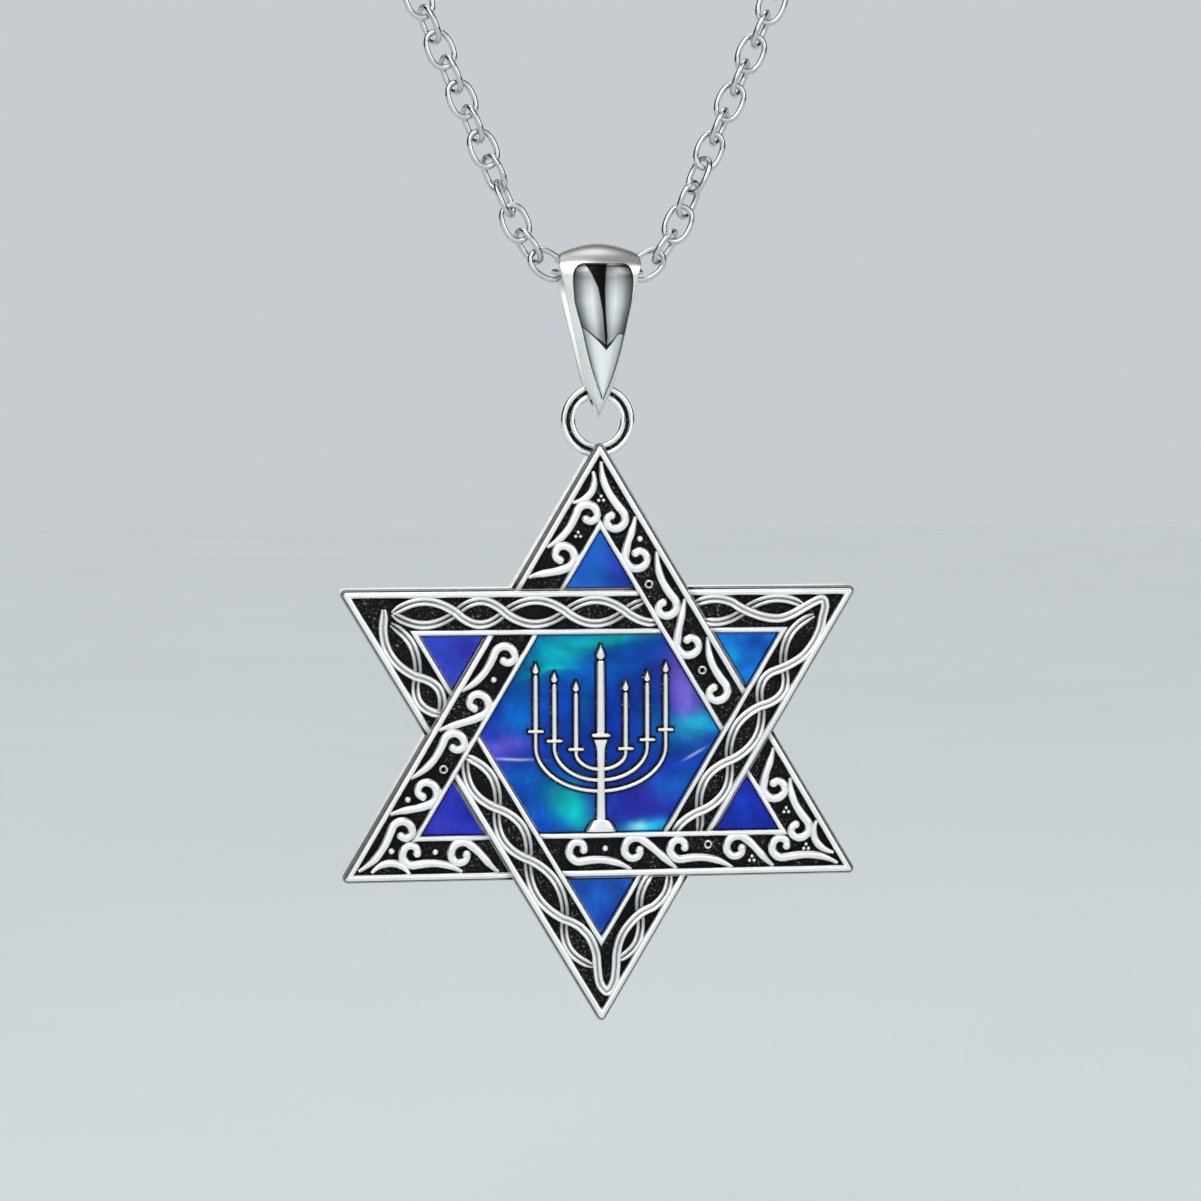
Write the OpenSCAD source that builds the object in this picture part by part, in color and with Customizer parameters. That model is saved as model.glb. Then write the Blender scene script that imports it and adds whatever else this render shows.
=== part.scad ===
// Star of David pendant on its cable chain: a cast silver star of two laced triangles with raised
// scrolls and twisted strands, seven blue inlays, a menorah on the middle one, and a long loop bail.
// The origin is the middle of the neck ring. Z is up and the star faces -Y. Lengths are millimetres.

/* [Loop] */
// How far the chain in the bail lies below and in front of the middle of the neck ring
front_drop = 118; // [100:1:140]
front_reach = 52; // [46:1:60]
// How far the clasp at the nape lies above and behind it
nape_rise = 22; // [16:1:28]
nape_reach = 58; // [50:1:66]
// How far out to each side the hidden chain's curve is drawn, and how far back and up
side_reach = 84; // [76:1:94]
side_back = 56; // [48:1:62]
side_rise = 16; // [10:1:22]

/* [Star] */
// Width over the side tips
star_w = 22; // [20:0.5:26]
// Height from the top tip to the bottom tip
star_h = 24.8; // [23:0.2:28]
// Height of the side tips above and below the middle
side_tip_rise = 6.25; // [6:0.05:6.8]
// Thickness of the cast star
star_t = 1.8; // [1.6:0.1:2.6]
// Width of one bar of the laced triangles
bar_w = 2; // [1.8:0.05:2.3]
// Width of the rim along a bar's outer edge
outer_rim_w = 0.38; // [0.3:0.02:0.5]
// Width of the rim along a bar's inner edge
inner_rim_w = 0.26; // [0.2:0.02:0.34]
// Depth of the blackened channel between the rims
channel_depth = 0.35; // [0.25:0.05:0.5]
// Width of the low step along the star's outer edge
ledge_w = 0.13; // [0.08:0.01:0.18]
// Drop of that step below the rim
ledge_drop = 0.16; // [0.1:0.02:0.3]
// Rounding of the six tips
tip_r = 0.22; // [0.16:0.02:0.3]

/* [Relief] */
// Width of a scroll's line
scroll_line_w = 0.3; // [0.22:0.01:0.34]
// Radius of the ball where a scroll ends
scroll_ball_r = 0.18; // [0.14:0.01:0.2]
// Radius of the small dots between the scrolls
dot_r = 0.14; // [0.1:0.01:0.18]
// Width of a twisted strand
strand_w = 0.35; // [0.3:0.01:0.42]
// Cut beside the strand that passes over
strand_gap = 0.06; // [0.04:0.01:0.1]

/* [Inlays] */
// Thickness of the inlays
inlay_t = 0.8; // [0.5:0.05:0.9]
// How far the inlays lie below the rims
inlay_drop = 0.22; // [0.1:0.02:0.3]
// Gap between an inlay and its pocket
seat_gap = 0.04; // [0.03:0.01:0.08]

/* [Menorah] */
// Half the width over the outer arms
arm_reach = 2.8; // [2.4:0.1:3]
// Depth of the outer arms below the middle of the star
arm_drop = 2.47; // [2.2:0.05:2.7]
// Height of the outer candles above the middle of the star
candle_top = 2.56; // [2:0.05:2.6]
// Height of the middle candle above the middle of the star
middle_candle_top = 3.16; // [2.8:0.05:3.2]
// Width of the stem and of the middle candle
stem_w = 0.36; // [0.28:0.02:0.44]
// Width of an arm
arm_w = 0.16; // [0.12:0.01:0.2]
// Width of an outer candle
candle_w = 0.22; // [0.16:0.01:0.26]
// Width of a cup under an outer candle
cup_w = 0.72; // [0.6:0.02:0.8]
// Height of such a cup
cup_h = 0.17; // [0.12:0.01:0.24]
// Width of the foot
foot_w = 1.3; // [1:0.05:1.6]
// Height of the foot
foot_h = 0.5; // [0.4:0.02:0.6]
// Height of an outer candle's flame
flame_h = 0.5; // [0.4:0.02:0.6]
// Height of the middle candle's flame
middle_flame_h = 0.64; // [0.5:0.02:0.7]
// Thickness of the menorah with its dark backing
menorah_t = 0.18; // [0.14:0.01:0.24]
// Thickness of the dark backing alone
backing_t = 0.06; // [0.04:0.01:0.08]
// How far the dark backing stands out round the silver
backing_edge = 0.06; // [0.04:0.01:0.08]

/* [Ring] */
// Outer diameter of the soldered ring
ring_d = 3.2; // [3:0.1:3.6]
// Inner diameter of the soldered ring
ring_bore = 1.9; // [1.8:0.05:2]
// How far the ring's middle is above the star's top tip
ring_rise = 0.98; // [0.8:0.02:1.1]

/* [Bail] */
// Greatest width of the bail
bail_w = 3.52; // [3:0.1:4]
// Radius of the bail's opening round the chain
bail_bore_r = 1; // [1:0.05:1.2]
// Thickness of the bail's wall at the top
bail_wall = 0.45; // [0.4:0.05:0.6]
// Radius of the bail's opening round the ring
bail_foot_bore_r = 0.5; // [0.48:0.01:0.54]
// Thickness of the bail's wall beside the ring
bail_foot_wall = 0.36; // [0.3:0.02:0.44]
// Thickness of the bail's closed foot below the ring
bail_foot_h = 0.72; // [0.6:0.02:0.8]
// Distance from the chain down to the ring's wire
bail_drop = 4.84; // [4.4:0.1:5.4]

/* [Chain] */
// Outer width of a link
link_w = 1.3; // [1.2:0.05:1.4]
// Outer length of a link
link_len = 1.82; // [1.82:0.01:1.9]
// Thickness of the wire
wire_d = 0.26; // [0.22:0.01:0.26]
// Distance from one link to the next
link_pitch = 1.13; // [1.1:0.01:1.13]
// Links on each side of the middle one that lie in front
links_each_side = 20; // [12:1:24]
// Slope of the two strands away from upright, in degrees
strand_slope = 23.5; // [20:0.5:26]

/* [Clasp] */
// Length of the clasp's barrel
clasp_len = 8; // [6:0.5:10]
// Diameter of the clasp's barrel
clasp_d = 3; // [2.6:0.1:3.6]
// Outer diameter of the eye at each end of the clasp
clasp_eye_d = 2.2; // [2:0.1:2.6]
// Thickness of an eye's wire
clasp_eye_wire = 0.5; // [0.4:0.05:0.6]
// Gap between the hidden stretch of chain and what it meets
chain_gap = 0.15; // [0.12:0.01:0.3]

/* [Hidden] */

silver = [0.86, 0.87, 0.88];
royal_blue = [0.05, 0.2, 0.66];
violet_blue = [0.2, 0.16, 0.66];
$fn = 32;

// The chain's place in the bail, and the middle of the clasp at the nape
bail_point = [0, -front_reach, -front_drop];
nape_point = [0, nape_reach, nape_rise];

// Handles of each side's one curve from the front links to the clasp: the first is how far it runs
// on in the strand's direction, the second is a place beside the neck on the +X side
strand_run = 62;
side_point = [side_reach, side_back, side_rise];
tube_rings = 40;

// Columns: start of the tail along the bar, its depth, middle of the spiral along the bar, its
// depth, radius. Lengths along are shares of the bar, depths and radii are shares of the channel.
// A scroll whose tail comes from the left turns down, and every second one turns up.
scrolls_down = [
    [0.040, 0.06, 0.149, 0.65, 0.38],
    [0.246, 0.00, 0.347, 0.66, 0.38],
    [0.442, 0.00, 0.542, 0.65, 0.38],
    [0.766, 0.03, 0.860, 0.64, 0.38]
];
scrolls_up = [
    [0.166, 0.02, 0.237, 0.60, 0.41],
    [0.354, 0.00, 0.435, 0.60, 0.41],
    [0.697, 0.00, 0.767, 0.57, 0.41]
];
// A spiral's first angle and its turn, where it turns down and where it turns up, how much it closes
// in, and how late it does
spiral_from_down = 100;
spiral_from_up = 235;
spiral_turn_down = 280;
spiral_turn_up = 305;
spiral_closing = 0.62;
spiral_lateness = 1.3;
// Directions in which the tails leave, and their handles as a share of their reach
tail_leaves_down = [0.85, 0.5];
tail_leaves_up = [0.8, 0.6];
tail_handle = 0.4;
// Share of the line's width with which a tail starts, and the number of points over which it grows
tail_share = 0.45;
tail_points = 4;
// Columns: place along the bar, depth in the channel, as the same shares
dots = [[0.208, 0.25], [0.293, 0.74], [0.492, 0.68], [0.817, 0.67], [0.900, 0.72]];
// The leaf beside the outer rim near each bar's end, in the same shares
leaf = [[0.866, 0.00], [0.885, 0.45], [0.915, 0.45], [0.938, 0.06]];

// Places along each bar where its two strands cross, as shares of the bar, and the strands' middle
// depth and swing as shares of the channel
crossings = [
    [0.105, 0.226, 0.318, 0.435, 0.548, 0.662, 0.780, 0.905],
    [0.095, 0.213, 0.300, 0.425, 0.540, 0.660, 0.772, 0.885],
    [0.110, 0.218, 0.358, 0.475, 0.593, 0.690, 0.775, 0.902]
];
strand_depth = 0.47;
strand_swing = 0.37;
lobes = len(crossings[0]) - 1;
// Stretch of the strand that passes over, on each side of a crossing, that is cut free, in lobes
over_reach = 0.35;
// First and last place of each bar's strands, in lobes: the one that starts outside, then the other
strand_spans = [[[0, 6.9], [0, 6]], [[1, 6.9], [0, 6]], [[0, 7.15], [0.6, 6.9]]];
// The strands' ways round two of the corners. Columns: bar, place along it, depth in its channel.
corner_ways = [
    [[0, 0.756, 0.25], [0, 0.780, 0.47], [0, 0.812, 0.67], [0, 0.845, 0.74], [0, 0.872, 0.60],
        [0, 0.898, 0.36], [0, 0.927, 0.14], [1, 0.066, 0.34], [1, 0.089, 0.22], [1, 0.111, 0.10],
        [1, 0.141, 0.05], [1, 0.172, 0.11], [1, 0.195, 0.28], [1, 0.213, 0.47], [1, 0.230, 0.69]],
    [[1, 0.750, 0.25], [1, 0.772, 0.47], [1, 0.800, 0.60], [1, 0.830, 0.63], [1, 0.860, 0.50],
        [1, 0.886, 0.28], [1, 0.912, 0.11], [1, 0.936, 0.10], [2, 0.064, 0.36], [2, 0.081, 0.40],
        [2, 0.105, 0.57], [2, 0.131, 0.77], [2, 0.162, 0.84], [2, 0.186, 0.77]]
];
// The strand that passes over is the one that goes down along the first and second bars
falling_over = [true, true, false];

// The menorah's arms on one side: reach, lowest point, cup height and candle top of each, as shares
// of the outer arm's reach, the outer arm's drop (twice) and the outer candle's height
arms = [[1, 1, 0.02, 1], [0.714, 0.81, -0.15, 0.85], [0.382, 0.62, -0.3, 0.695]];
// Greatest height of an arm's bend as a share of the outer arm's reach
arm_bend = 0.554;
// Outline of a flame and its rise above the candle, as shares of its height
flame_outline = [[-0.3, 0.25], [-0.18, 0], [0.18, 0], [0.3, 0.25], [0.16, 0.6], [0, 1], [-0.16, 0.6]];
flame_rise = 0.08;

// Outline of the bail: height as a share of its height above the foot, and half width as a share
bail_outline = [[0, 0.07], [0.03, 0.13], [0.07, 0.19], [0.15, 0.34], [0.875, 1], [1, 0.86]];
// Section of the bail's wall: place across as a share of the half width, rise as a share of the wall.
// Its inner edges flare, so that the links beside it stay clear when it swings.
bail_section = [
    [-1, 0.38], [-0.7, 0], [0.7, 0], [1, 0.38], [1, 0.56], [0.74, 0.64], [0.4, 0.9], [0, 1],
    [-0.4, 0.9], [-0.74, 0.64], [-1, 0.56]
];

// Angles from level of the first links beside the bail, middle link first
link_slopes = [0, 10, 34, 55];

// Width of the nicks that are closed where a drawn line bends sharply
nick = 0.05;
// Overlap by which shapes of one piece grow together
join = 0.001;

channel_w = bar_w - outer_rim_w - inner_rim_w;
front = star_t / 2;
floor_level = front - channel_depth;
inlay_top_level = front - inlay_drop;
hinge_to_ring = (ring_d + ring_bore) / 4;
star_centre = bail_point - [0, 0, bail_drop + hinge_to_ring + ring_rise + star_h / 2];
ring_centre = star_centre + [0, 0, star_h / 2 + ring_rise];
strand_dir = [sin(strand_slope), 0, cos(strand_slope)];
bail_foot_centre = bail_drop + bail_foot_h + bail_foot_bore_r - bail_foot_r();

function bail_foot_r() = bail_foot_bore_r + bail_foot_wall;

function unit(v) = v / norm(v);

// Flat shapes are drawn with x across and y up, then stood up to face -Y between two levels,
// which are heights above the star's middle plane
module standing(from, to) {
    rotate([90, 0, 0])
        translate([0, 0, from])
            linear_extrude(to - from)
                children();
}

// Corners of the triangle that points up (1) or down (-1), in the order the bars follow
// The sharp corners stand out past the rounded tips by the tip's radius
function corners(dir) = [
    [-dir * (star_w / 2 + tip_r), -dir * side_tip_rise],
    [0, dir * (star_h / 2 + tip_r)],
    [dir * (star_w / 2 + tip_r), -dir * side_tip_rise]
];
function bar_start(dir, k) = corners(dir)[(dir > 0 ? k : (k + 2) % 3) % 3];
function bar_end(dir, k) = corners(dir)[(dir > 0 ? k + 1 : k + 3) % 3];
function bar_len(dir, k) = norm(bar_end(dir, k) - bar_start(dir, k));

// A place on a bar: distance along it and depth in from its outer edge, in millimetres
function on_bar(dir, k, along, depth) =
    let (ahead = unit(bar_end(dir, k) - bar_start(dir, k)))
    bar_start(dir, k) + along * ahead + depth * [ahead.y, -ahead.x];

// A place on a bar in the shares that the tables use
function share(dir, k, p) = [p[0] * bar_len(dir, k), outer_rim_w + p[1] * channel_w];
function placed(dir, k, line) = [for (p = line) on_bar(dir, k, p.x, p.y)];

function bezier(a, b, c, d, t) =
    pow(1 - t, 3) * a + 3 * pow(1 - t, 2) * t * b + 3 * (1 - t) * t * t * c + t * t * t * d;

// Line of a scroll, from its tail into the spiral; turn is 1 where it turns down, -1 where up
function scroll_line(dir, k, row, turn) =
    let (tail = share(dir, k, [row[0], row[1]]))
    let (mid = share(dir, k, [row[2], row[3]]))
    let (spiral_turn = turn > 0 ? spiral_turn_down : spiral_turn_up)
    let (r = row[4] * channel_w)
    let (first = turn > 0 ? spiral_from_down : spiral_from_up)
    let (entry = mid + r * [cos(first), -sin(first)])
    let (heading = [sin(first), cos(first)] * (turn > 0 ? 1 : -1))
    let (reach = norm(entry - tail))
    concat(
        [for (t = [0:0.2:0.8])
            bezier(tail, tail + tail_handle * reach * (turn > 0 ? tail_leaves_down : tail_leaves_up),
                entry - tail_handle * reach * heading, entry, t)],
        [for (t = [0:0.1:1])
            let (a = first - turn * spiral_turn * t)
            mid + r * (1 - spiral_closing * pow(t, spiral_lateness)) * [cos(a), -sin(a)]]
    );

// Outline of a line drawn with the given width; tail is the share of the width that it starts with
function ribbon(line, w, tail = 1) =
    let (n = len(line))
    let (side = [for (i = [0:n - 1])
        let (d = line[min(i + 1, n - 1)] - line[max(i - 1, 0)])
        let (half = w / 2 * min(1, tail + i / tail_points))
        half * [-d.y, d.x] / norm(d)])
    concat([for (i = [0:n - 1]) line[i] + side[i]], [for (i = [n - 1:-1:0]) line[i] - side[i]]);

module triangle(dir, inset) {
    offset(delta = -inset)
        polygon(corners(dir));
}

module silhouette() {
    triangle(1, 0);
    triangle(-1, 0);
}

module rounded_silhouette(inset) {
    offset(r = tip_r)
        offset(delta = -tip_r - inset)
            silhouette();
}

// The full width of one bar, from corner to corner
module bar_strip(dir, k) {
    polygon([
        bar_start(dir, k), bar_end(dir, k),
        on_bar(dir, k, bar_len(dir, k), bar_w), on_bar(dir, k, 0, bar_w)
    ]);
}

// Where the bars of one triangle dive under the other's
module passes_under(dir) {
    for (k = [0:2])
        intersection() {
            bar_strip(1, dir > 0 ? k : (k + 1) % 3);
            bar_strip(-1, k);
        }
}

module channel(dir) {
    difference() {
        triangle(dir, outer_rim_w);
        triangle(dir, bar_w - inner_rim_w);
        passes_under(dir);
    }
}

module scroll(dir, k, row, turn) {
    line = scroll_line(dir, k, row, turn);
    polygon(placed(dir, k, ribbon(line, scroll_line_w, tail_share)));
    translate(placed(dir, k, line)[len(line) - 1])
        circle(scroll_ball_r, $fn = 12);
}

module scroll_relief() {
    for (k = [0:2]) {
        for (row = scrolls_down)
            scroll(1, k, row, 1);
        for (row = scrolls_up)
            scroll(1, k, row, -1);
        for (p = dots)
            translate(placed(1, k, [share(1, k, p)])[0])
                circle(dot_r, $fn = 8);
        bend = [for (p = leaf) share(1, k, p)];
        line = [for (t = [0:0.125:1]) bezier(bend[0], bend[1], bend[2], bend[3], t)];
        polygon(placed(1, k, ribbon(line, scroll_line_w, tail_share)));
    }
}

// Line of one strand of the twist over part of its lobes; swing is 1 for the strand that starts
// outside and -1 for the other
function strand_line(k, swing, from, to) =
    [for (t = [from:0.1:to + 0.001])
        let (lobe = min(floor(t), lobes - 1))
        share(-1, k, [crossings[k][lobe] + (t - lobe) * (crossings[k][lobe + 1] - crossings[k][lobe]),
            strand_depth - swing * strand_swing * sin(180 * t)])];

module strand(k, swing, from, to, w) {
    polygon(placed(-1, k, ribbon(strand_line(k, swing, from, to), w)));
}

// A smooth line through the given points
function smooth(p) =
    let (n = len(p))
    concat([for (i = [0:n - 2], t = [0:0.25:0.9])
        let (before = i > 0 ? p[i - 1] : 2 * p[0] - p[1])
        let (after = i < n - 2 ? p[i + 2] : 2 * p[n - 1] - p[n - 2])
        bezier(p[i], p[i] + (p[i + 1] - before) / 6, p[i + 1] - (after - p[i]) / 6, p[i + 1], t)],
        [p[n - 1]]);

function corner_line(way) =
    smooth([for (row = way) placed(-1, row[0], [share(-1, row[0], [row[1], row[2]])])[0]]);

// The swing whose strand passes over at crossing number n, which is always the outer one at the last
function over_swing(k, n) = n == lobes ? 1 : (n % 2 == 0 ? 1 : -1) * (falling_over[k] ? -1 : 1);

// A line drawn with the given width, with no nick where it bends sharply
module drawn(line, w) {
    offset(delta = -nick)
        offset(delta = nick)
            polygon(ribbon(line, w));
}

// The strands of one bar, cut away beside those that pass over them
module strands(k) {
    last = k == 2 ? lobes : lobes - 1;
    over_end = k == 2 ? strand_spans[k][0][1] : lobes - 1;
    difference() {
        for (i = [0, 1])
            strand(k, 1 - 2 * i, strand_spans[k][i][0], strand_spans[k][i][1], strand_w);
        for (n = [1:last])
            strand(k, over_swing(k, n), n - over_reach, min(n + over_reach, over_end),
                strand_w + 2 * strand_gap);
        for (way = corner_ways)
            drawn(corner_line(way), strand_w + 2 * strand_gap);
    }
    for (n = [1:last])
        strand(k, over_swing(k, n), n - over_reach - join, min(n + over_reach + join, over_end), strand_w);
}

module strand_relief() {
    for (k = [0:2])
        strands(k);
    for (way = corner_ways)
        drawn(corner_line(way), strand_w);
}

// The channels with the scrolls and strands left standing in them
module channels_round_relief() {
    offset(delta = join) {
        difference() {
            channel(1);
            scroll_relief();
        }
        difference() {
            channel(-1);
            strand_relief();
        }
    }
}

// The open window of one inlay: side is [0, 0] in the middle, or the quarter that it lies in
module window(name, inset) {
    offset(delta = -inset)
        if (name == "centre")
            intersection() {
                triangle(1, bar_w);
                triangle(-1, bar_w);
            }
        else
            intersection() {
                difference() {
                    triangle(window_dir(name), bar_w);
                    triangle(-window_dir(name), 0);
                }
                window_area(name);
            }
}

function window_dir(name) = name == "top" || name == "lower_left" || name == "lower_right" ? 1 : -1;

// The half or quarter of the star that holds one small window
module window_area(name) {
    far = star_h;
    if (name == "top")
        translate([-far / 2, 0])
            square(far);
    else if (name == "bottom")
        translate([-far / 2, -far])
            square(far);
    else
        translate([name == "upper_left" || name == "lower_left" ? -far : 0,
            name == "upper_left" || name == "upper_right" ? 0 : -far])
            square(far);
}

WINDOWS = ["centre", "top", "bottom", "upper_left", "upper_right", "lower_left", "lower_right"];

module star_frame() {
    ring_wire_r = (ring_d - ring_bore) / 8 + 8 * join;
    color(silver) {
        translate(star_centre)
            difference() {
                union() {
                    standing(-front, front - ledge_drop)
                        rounded_silhouette(0);
                    standing(front - 2 * ledge_drop, front)
                        rounded_silhouette(ledge_w);
                }
                standing(floor_level, front + ledge_drop)
                    channels_round_relief();
                for (name = WINDOWS)
                    standing(inlay_top_level - inlay_t - seat_gap, front + ledge_drop)
                        window(name, 0);
            }
        translate(ring_centre)
            rotate([90, 0, 0])
                rotate_extrude($fn = 48)
                    union() {
                        translate([ring_bore / 2 + ring_wire_r, 0])
                            circle(ring_wire_r);
                        translate([ring_d / 2 - ring_wire_r, 0])
                            circle(ring_wire_r);
                    }
    }
}

module inlay(name) {
    translate(star_centre)
        standing(inlay_top_level - inlay_t, inlay_top_level)
            window(name, seat_gap);
}

// A flame of height h that stands a little above its candle's top
module flame(x, top, h) {
    translate([x, top + flame_rise * h])
        polygon(h * flame_outline);
}

module box2d(x, low, w, high) {
    translate([x - w / 2, low])
        square([w, high - low]);
}

// The silver figure, flat
module menorah_figure() {
    foot_low = -side_tip_rise + bar_w + seat_gap;
    middle_cup_h = 1.7 * cup_h;
    box2d(0, foot_low + foot_h / 2, stem_w, middle_candle_top);
    box2d(0, -middle_cup_h, cup_w, 0);
    polygon([[-cup_w / 2, -middle_cup_h], [cup_w / 2, -middle_cup_h],
        [stem_w / 2, -2 * middle_cup_h], [-stem_w / 2, -2 * middle_cup_h]]);
    flame(0, middle_candle_top, middle_flame_h);
    for (side = [-1, 1])
        polygon([[0, foot_low], [side * foot_w / 2, foot_low],
            [side * 0.45 * foot_w, foot_low + 0.4 * foot_h],
            [side * stem_w / 2, foot_low + foot_h], [0, foot_low + foot_h]]);
    for (a = arms, side = [-1, 1]) {
        x = side * a[0] * arm_reach;
        low = -a[1] * arm_drop;
        cup = a[2] * arm_drop;
        top = a[3] * candle_top;
        bend = min(abs(x), arm_bend * arm_reach);
        arc = [for (t = [0:10:90]) [x * cos(t), low + bend * (1 - sin(t))]];
        polygon(ribbon(concat([[x, cup]], arc), arm_w));
        box2d(x, cup, cup_w, cup + cup_h);
        box2d(x, cup + cup_h / 2, candle_w, top);
        flame(x, top, flame_h);
    }
}

module menorah() {
    level = inlay_top_level + seat_gap;
    color(silver)
        translate(star_centre) {
            standing(level, level + backing_t)
                offset(delta = backing_edge)
                    menorah_figure();
            standing(level + backing_t / 2, level + menorah_t)
                offset(delta = join)
                    menorah_figure();
        }
}

// Stations round the bail's loop in the YZ plane, from the top over the front and back again: each
// has a place on the inner line and one on the outer line. Both lines are two circles and their
// common tangents.
function loop_station(upper, lower, drop, turn) =
    let (lean = asin((upper - lower) / drop))
    let (edge = 90 + lean)
    turn <= 1 ? upper * [-sin(turn * edge), cos(turn * edge)]
    : turn < 2 ? (2 - turn) * upper * [-sin(edge), cos(edge)]
        + (turn - 1) * ([0, -drop] + lower * [-sin(edge), cos(edge)])
    : [0, -drop] + lower * [-sin(edge + (turn - 2) * (180 - edge)), cos(edge + (turn - 2) * (180 - edge))];

function mirrored_station(upper, lower, drop, turn) =
    turn <= 3 ? loop_station(upper, lower, drop, turn)
    : let (p = loop_station(upper, lower, drop, 6 - turn)) [-p.x, p.y];

bail_turns = concat([for (t = [0:0.125:1]) t], [1.2, 1.4, 1.6, 1.8], [for (t = [2:0.2:4]) t],
    [4.2, 4.4, 4.6, 4.8], [for (t = [5:0.125:5.875]) t]);

module bail() {
    top_r = bail_bore_r + bail_wall;
    low = bail_drop + bail_foot_bore_r + bail_foot_h;
    sides = len(bail_section);
    rings = len(bail_turns);
    points = [for (turn = bail_turns)
        let (inner = mirrored_station(bail_bore_r, bail_foot_bore_r, bail_drop, turn))
        let (outer = mirrored_station(top_r, bail_foot_r(), bail_foot_centre, turn))
        let (half = bail_w / 2 * lookup((outer.y + low) / (low + top_r), bail_outline))
        for (s = bail_section)
            let (p = inner + s[1] * (outer - inner))
            [s[0] * half, p.x, p.y]];
    faces = [for (i = [0:rings - 1], j = [0:sides - 1])
        let (on = (i + 1) % rings)
        let (next = (j + 1) % sides)
        [i * sides + j, i * sides + next, on * sides + next, on * sides + j]];
    color(silver)
        translate(bail_point)
            polyhedron(points, faces, convexity = 4);
}

module link() {
    side = link_len - link_w;
    bend_r = (link_w - wire_d) / 2;
    for (end = [-1, 1]) {
        translate([end * side / 2, 0, 0])
            rotate(-90 * end)
                rotate_extrude(angle = 180)
                    translate([bend_r, 0])
                        circle(d = wire_d);
        translate([-side / 2, end * bend_r, 0])
            rotate([0, 90, 0])
                cylinder(d = wire_d, h = side);
    }
}

// Angle from level of link number i, and the joint between it and the next one
function link_slope(i) = i < len(link_slopes) ? link_slopes[i] : 90 - strand_slope;
function link_joint(i) =
    i == 0 ? [link_pitch / 2, 0]
    : link_joint(i - 1) + link_pitch * [cos(link_slope(i)), sin(link_slope(i))];
function link_centre(i) =
    i == 0 ? [0, 0] : link_joint(i) - link_pitch / 2 * [cos(link_slope(i)), sin(link_slope(i))];

// Every second link is turned on edge
module chain_front() {
    color(silver)
        translate(bail_point)
            for (i = [-links_each_side:links_each_side])
                let (side = i < 0 ? -1 : 1)
                let (c = link_centre(abs(i)))
                    translate([side * c.x, 0, c.y])
                        rotate([0, -side * link_slope(abs(i)), 0])
                            rotate([i % 2 == 0 ? 90 : 0, 0, 0])
                                link();
}

// Middle line of the +X side of the chain behind the front links, as one curve. It starts clear of
// the last front link, which reaches past its joint with the next.
front_end = let (p = link_joint(links_each_side)) bail_point + [p.x, 0, p.y]
    + ((link_len - link_pitch) / 2 + chain_gap) * strand_dir;
back_end = nape_point + [clasp_len / 2 + clasp_eye_d - clasp_eye_wire / 2 + chain_gap, 0, 0];
function route(t) = bezier(front_end, front_end + strand_run * strand_dir, side_point, back_end, t);

module chain_back() {
    sides = 8;
    points = [for (i = [0:tube_rings - 1])
        let (t = i / (tube_rings - 1))
        let (ahead = unit(route(t + 0.001) - route(t - 0.001)))
        let (out = unit(cross(ahead, [1, -1, 1])))
        let (up = cross(ahead, out))
        for (j = [0:sides - 1])
            let (a = 360 * (j + 0.5) / sides)
            route(t) + link_w / 2 * (cos(a) * out + sin(a) * up)];
    walls = [for (i = [0:tube_rings - 2], j = [0:sides - 1])
        let (next = (j + 1) % sides)
        [i * sides + j, (i + 1) * sides + j, (i + 1) * sides + next, i * sides + next]];
    faces = concat([[for (j = [0:sides - 1]) j]], walls,
        [[for (j = [sides - 1:-1:0]) (tube_rings - 1) * sides + j]]);
    color(silver)
        for (side = [0, 1])
            mirror([side, 0, 0])
                polyhedron(points, faces, convexity = 4);
}

module clasp() {
    eye_r = (clasp_eye_d - clasp_eye_wire) / 2;
    color(silver)
        translate(nape_point) {
            rotate([0, 90, 0])
                cylinder(d = clasp_d, h = clasp_len, center = true);
            for (side = [-1, 1])
                translate([side * (clasp_len / 2 + eye_r), 0, 0])
                    rotate_extrude($fn = 48)
                        translate([eye_r, 0])
                            circle(d = clasp_eye_wire);
        }
}

chain_front();
chain_back();
clasp();
bail();
star_frame();
menorah();
color(royal_blue) inlay("centre");  // inlay_centre
color(royal_blue) inlay("top");  // inlay_top
color(royal_blue) inlay("bottom");  // inlay_bottom
color(violet_blue) inlay("upper_left");  // inlay_upper_left
color(royal_blue) inlay("upper_right");  // inlay_upper_right
color(violet_blue) inlay("lower_left");  // inlay_lower_left
color(violet_blue) inlay("lower_right");  // inlay_lower_right
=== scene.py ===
# Star of David pendant on its cable chain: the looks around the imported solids.
# The star faces -Y and Z is up. Sizes are in millimetres until a piece becomes a mesh in metres.
import math

import bmesh
import bpy
from mathutils import Matrix, Quaternion, Vector
from mathutils.geometry import tessellate_polygon

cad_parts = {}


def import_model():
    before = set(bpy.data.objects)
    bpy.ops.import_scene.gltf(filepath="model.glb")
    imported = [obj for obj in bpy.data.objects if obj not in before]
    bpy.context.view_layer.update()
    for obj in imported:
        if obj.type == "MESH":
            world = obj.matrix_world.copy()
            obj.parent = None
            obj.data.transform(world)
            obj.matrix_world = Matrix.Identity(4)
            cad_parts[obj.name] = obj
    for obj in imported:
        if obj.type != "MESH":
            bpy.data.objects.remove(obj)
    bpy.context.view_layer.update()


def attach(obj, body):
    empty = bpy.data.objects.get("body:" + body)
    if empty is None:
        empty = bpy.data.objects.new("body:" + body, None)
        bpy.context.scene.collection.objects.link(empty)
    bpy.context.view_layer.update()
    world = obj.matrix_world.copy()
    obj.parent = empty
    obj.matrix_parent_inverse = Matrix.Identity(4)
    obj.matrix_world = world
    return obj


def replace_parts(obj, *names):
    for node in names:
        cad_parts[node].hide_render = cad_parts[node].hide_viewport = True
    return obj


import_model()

MM = 0.001
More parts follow.
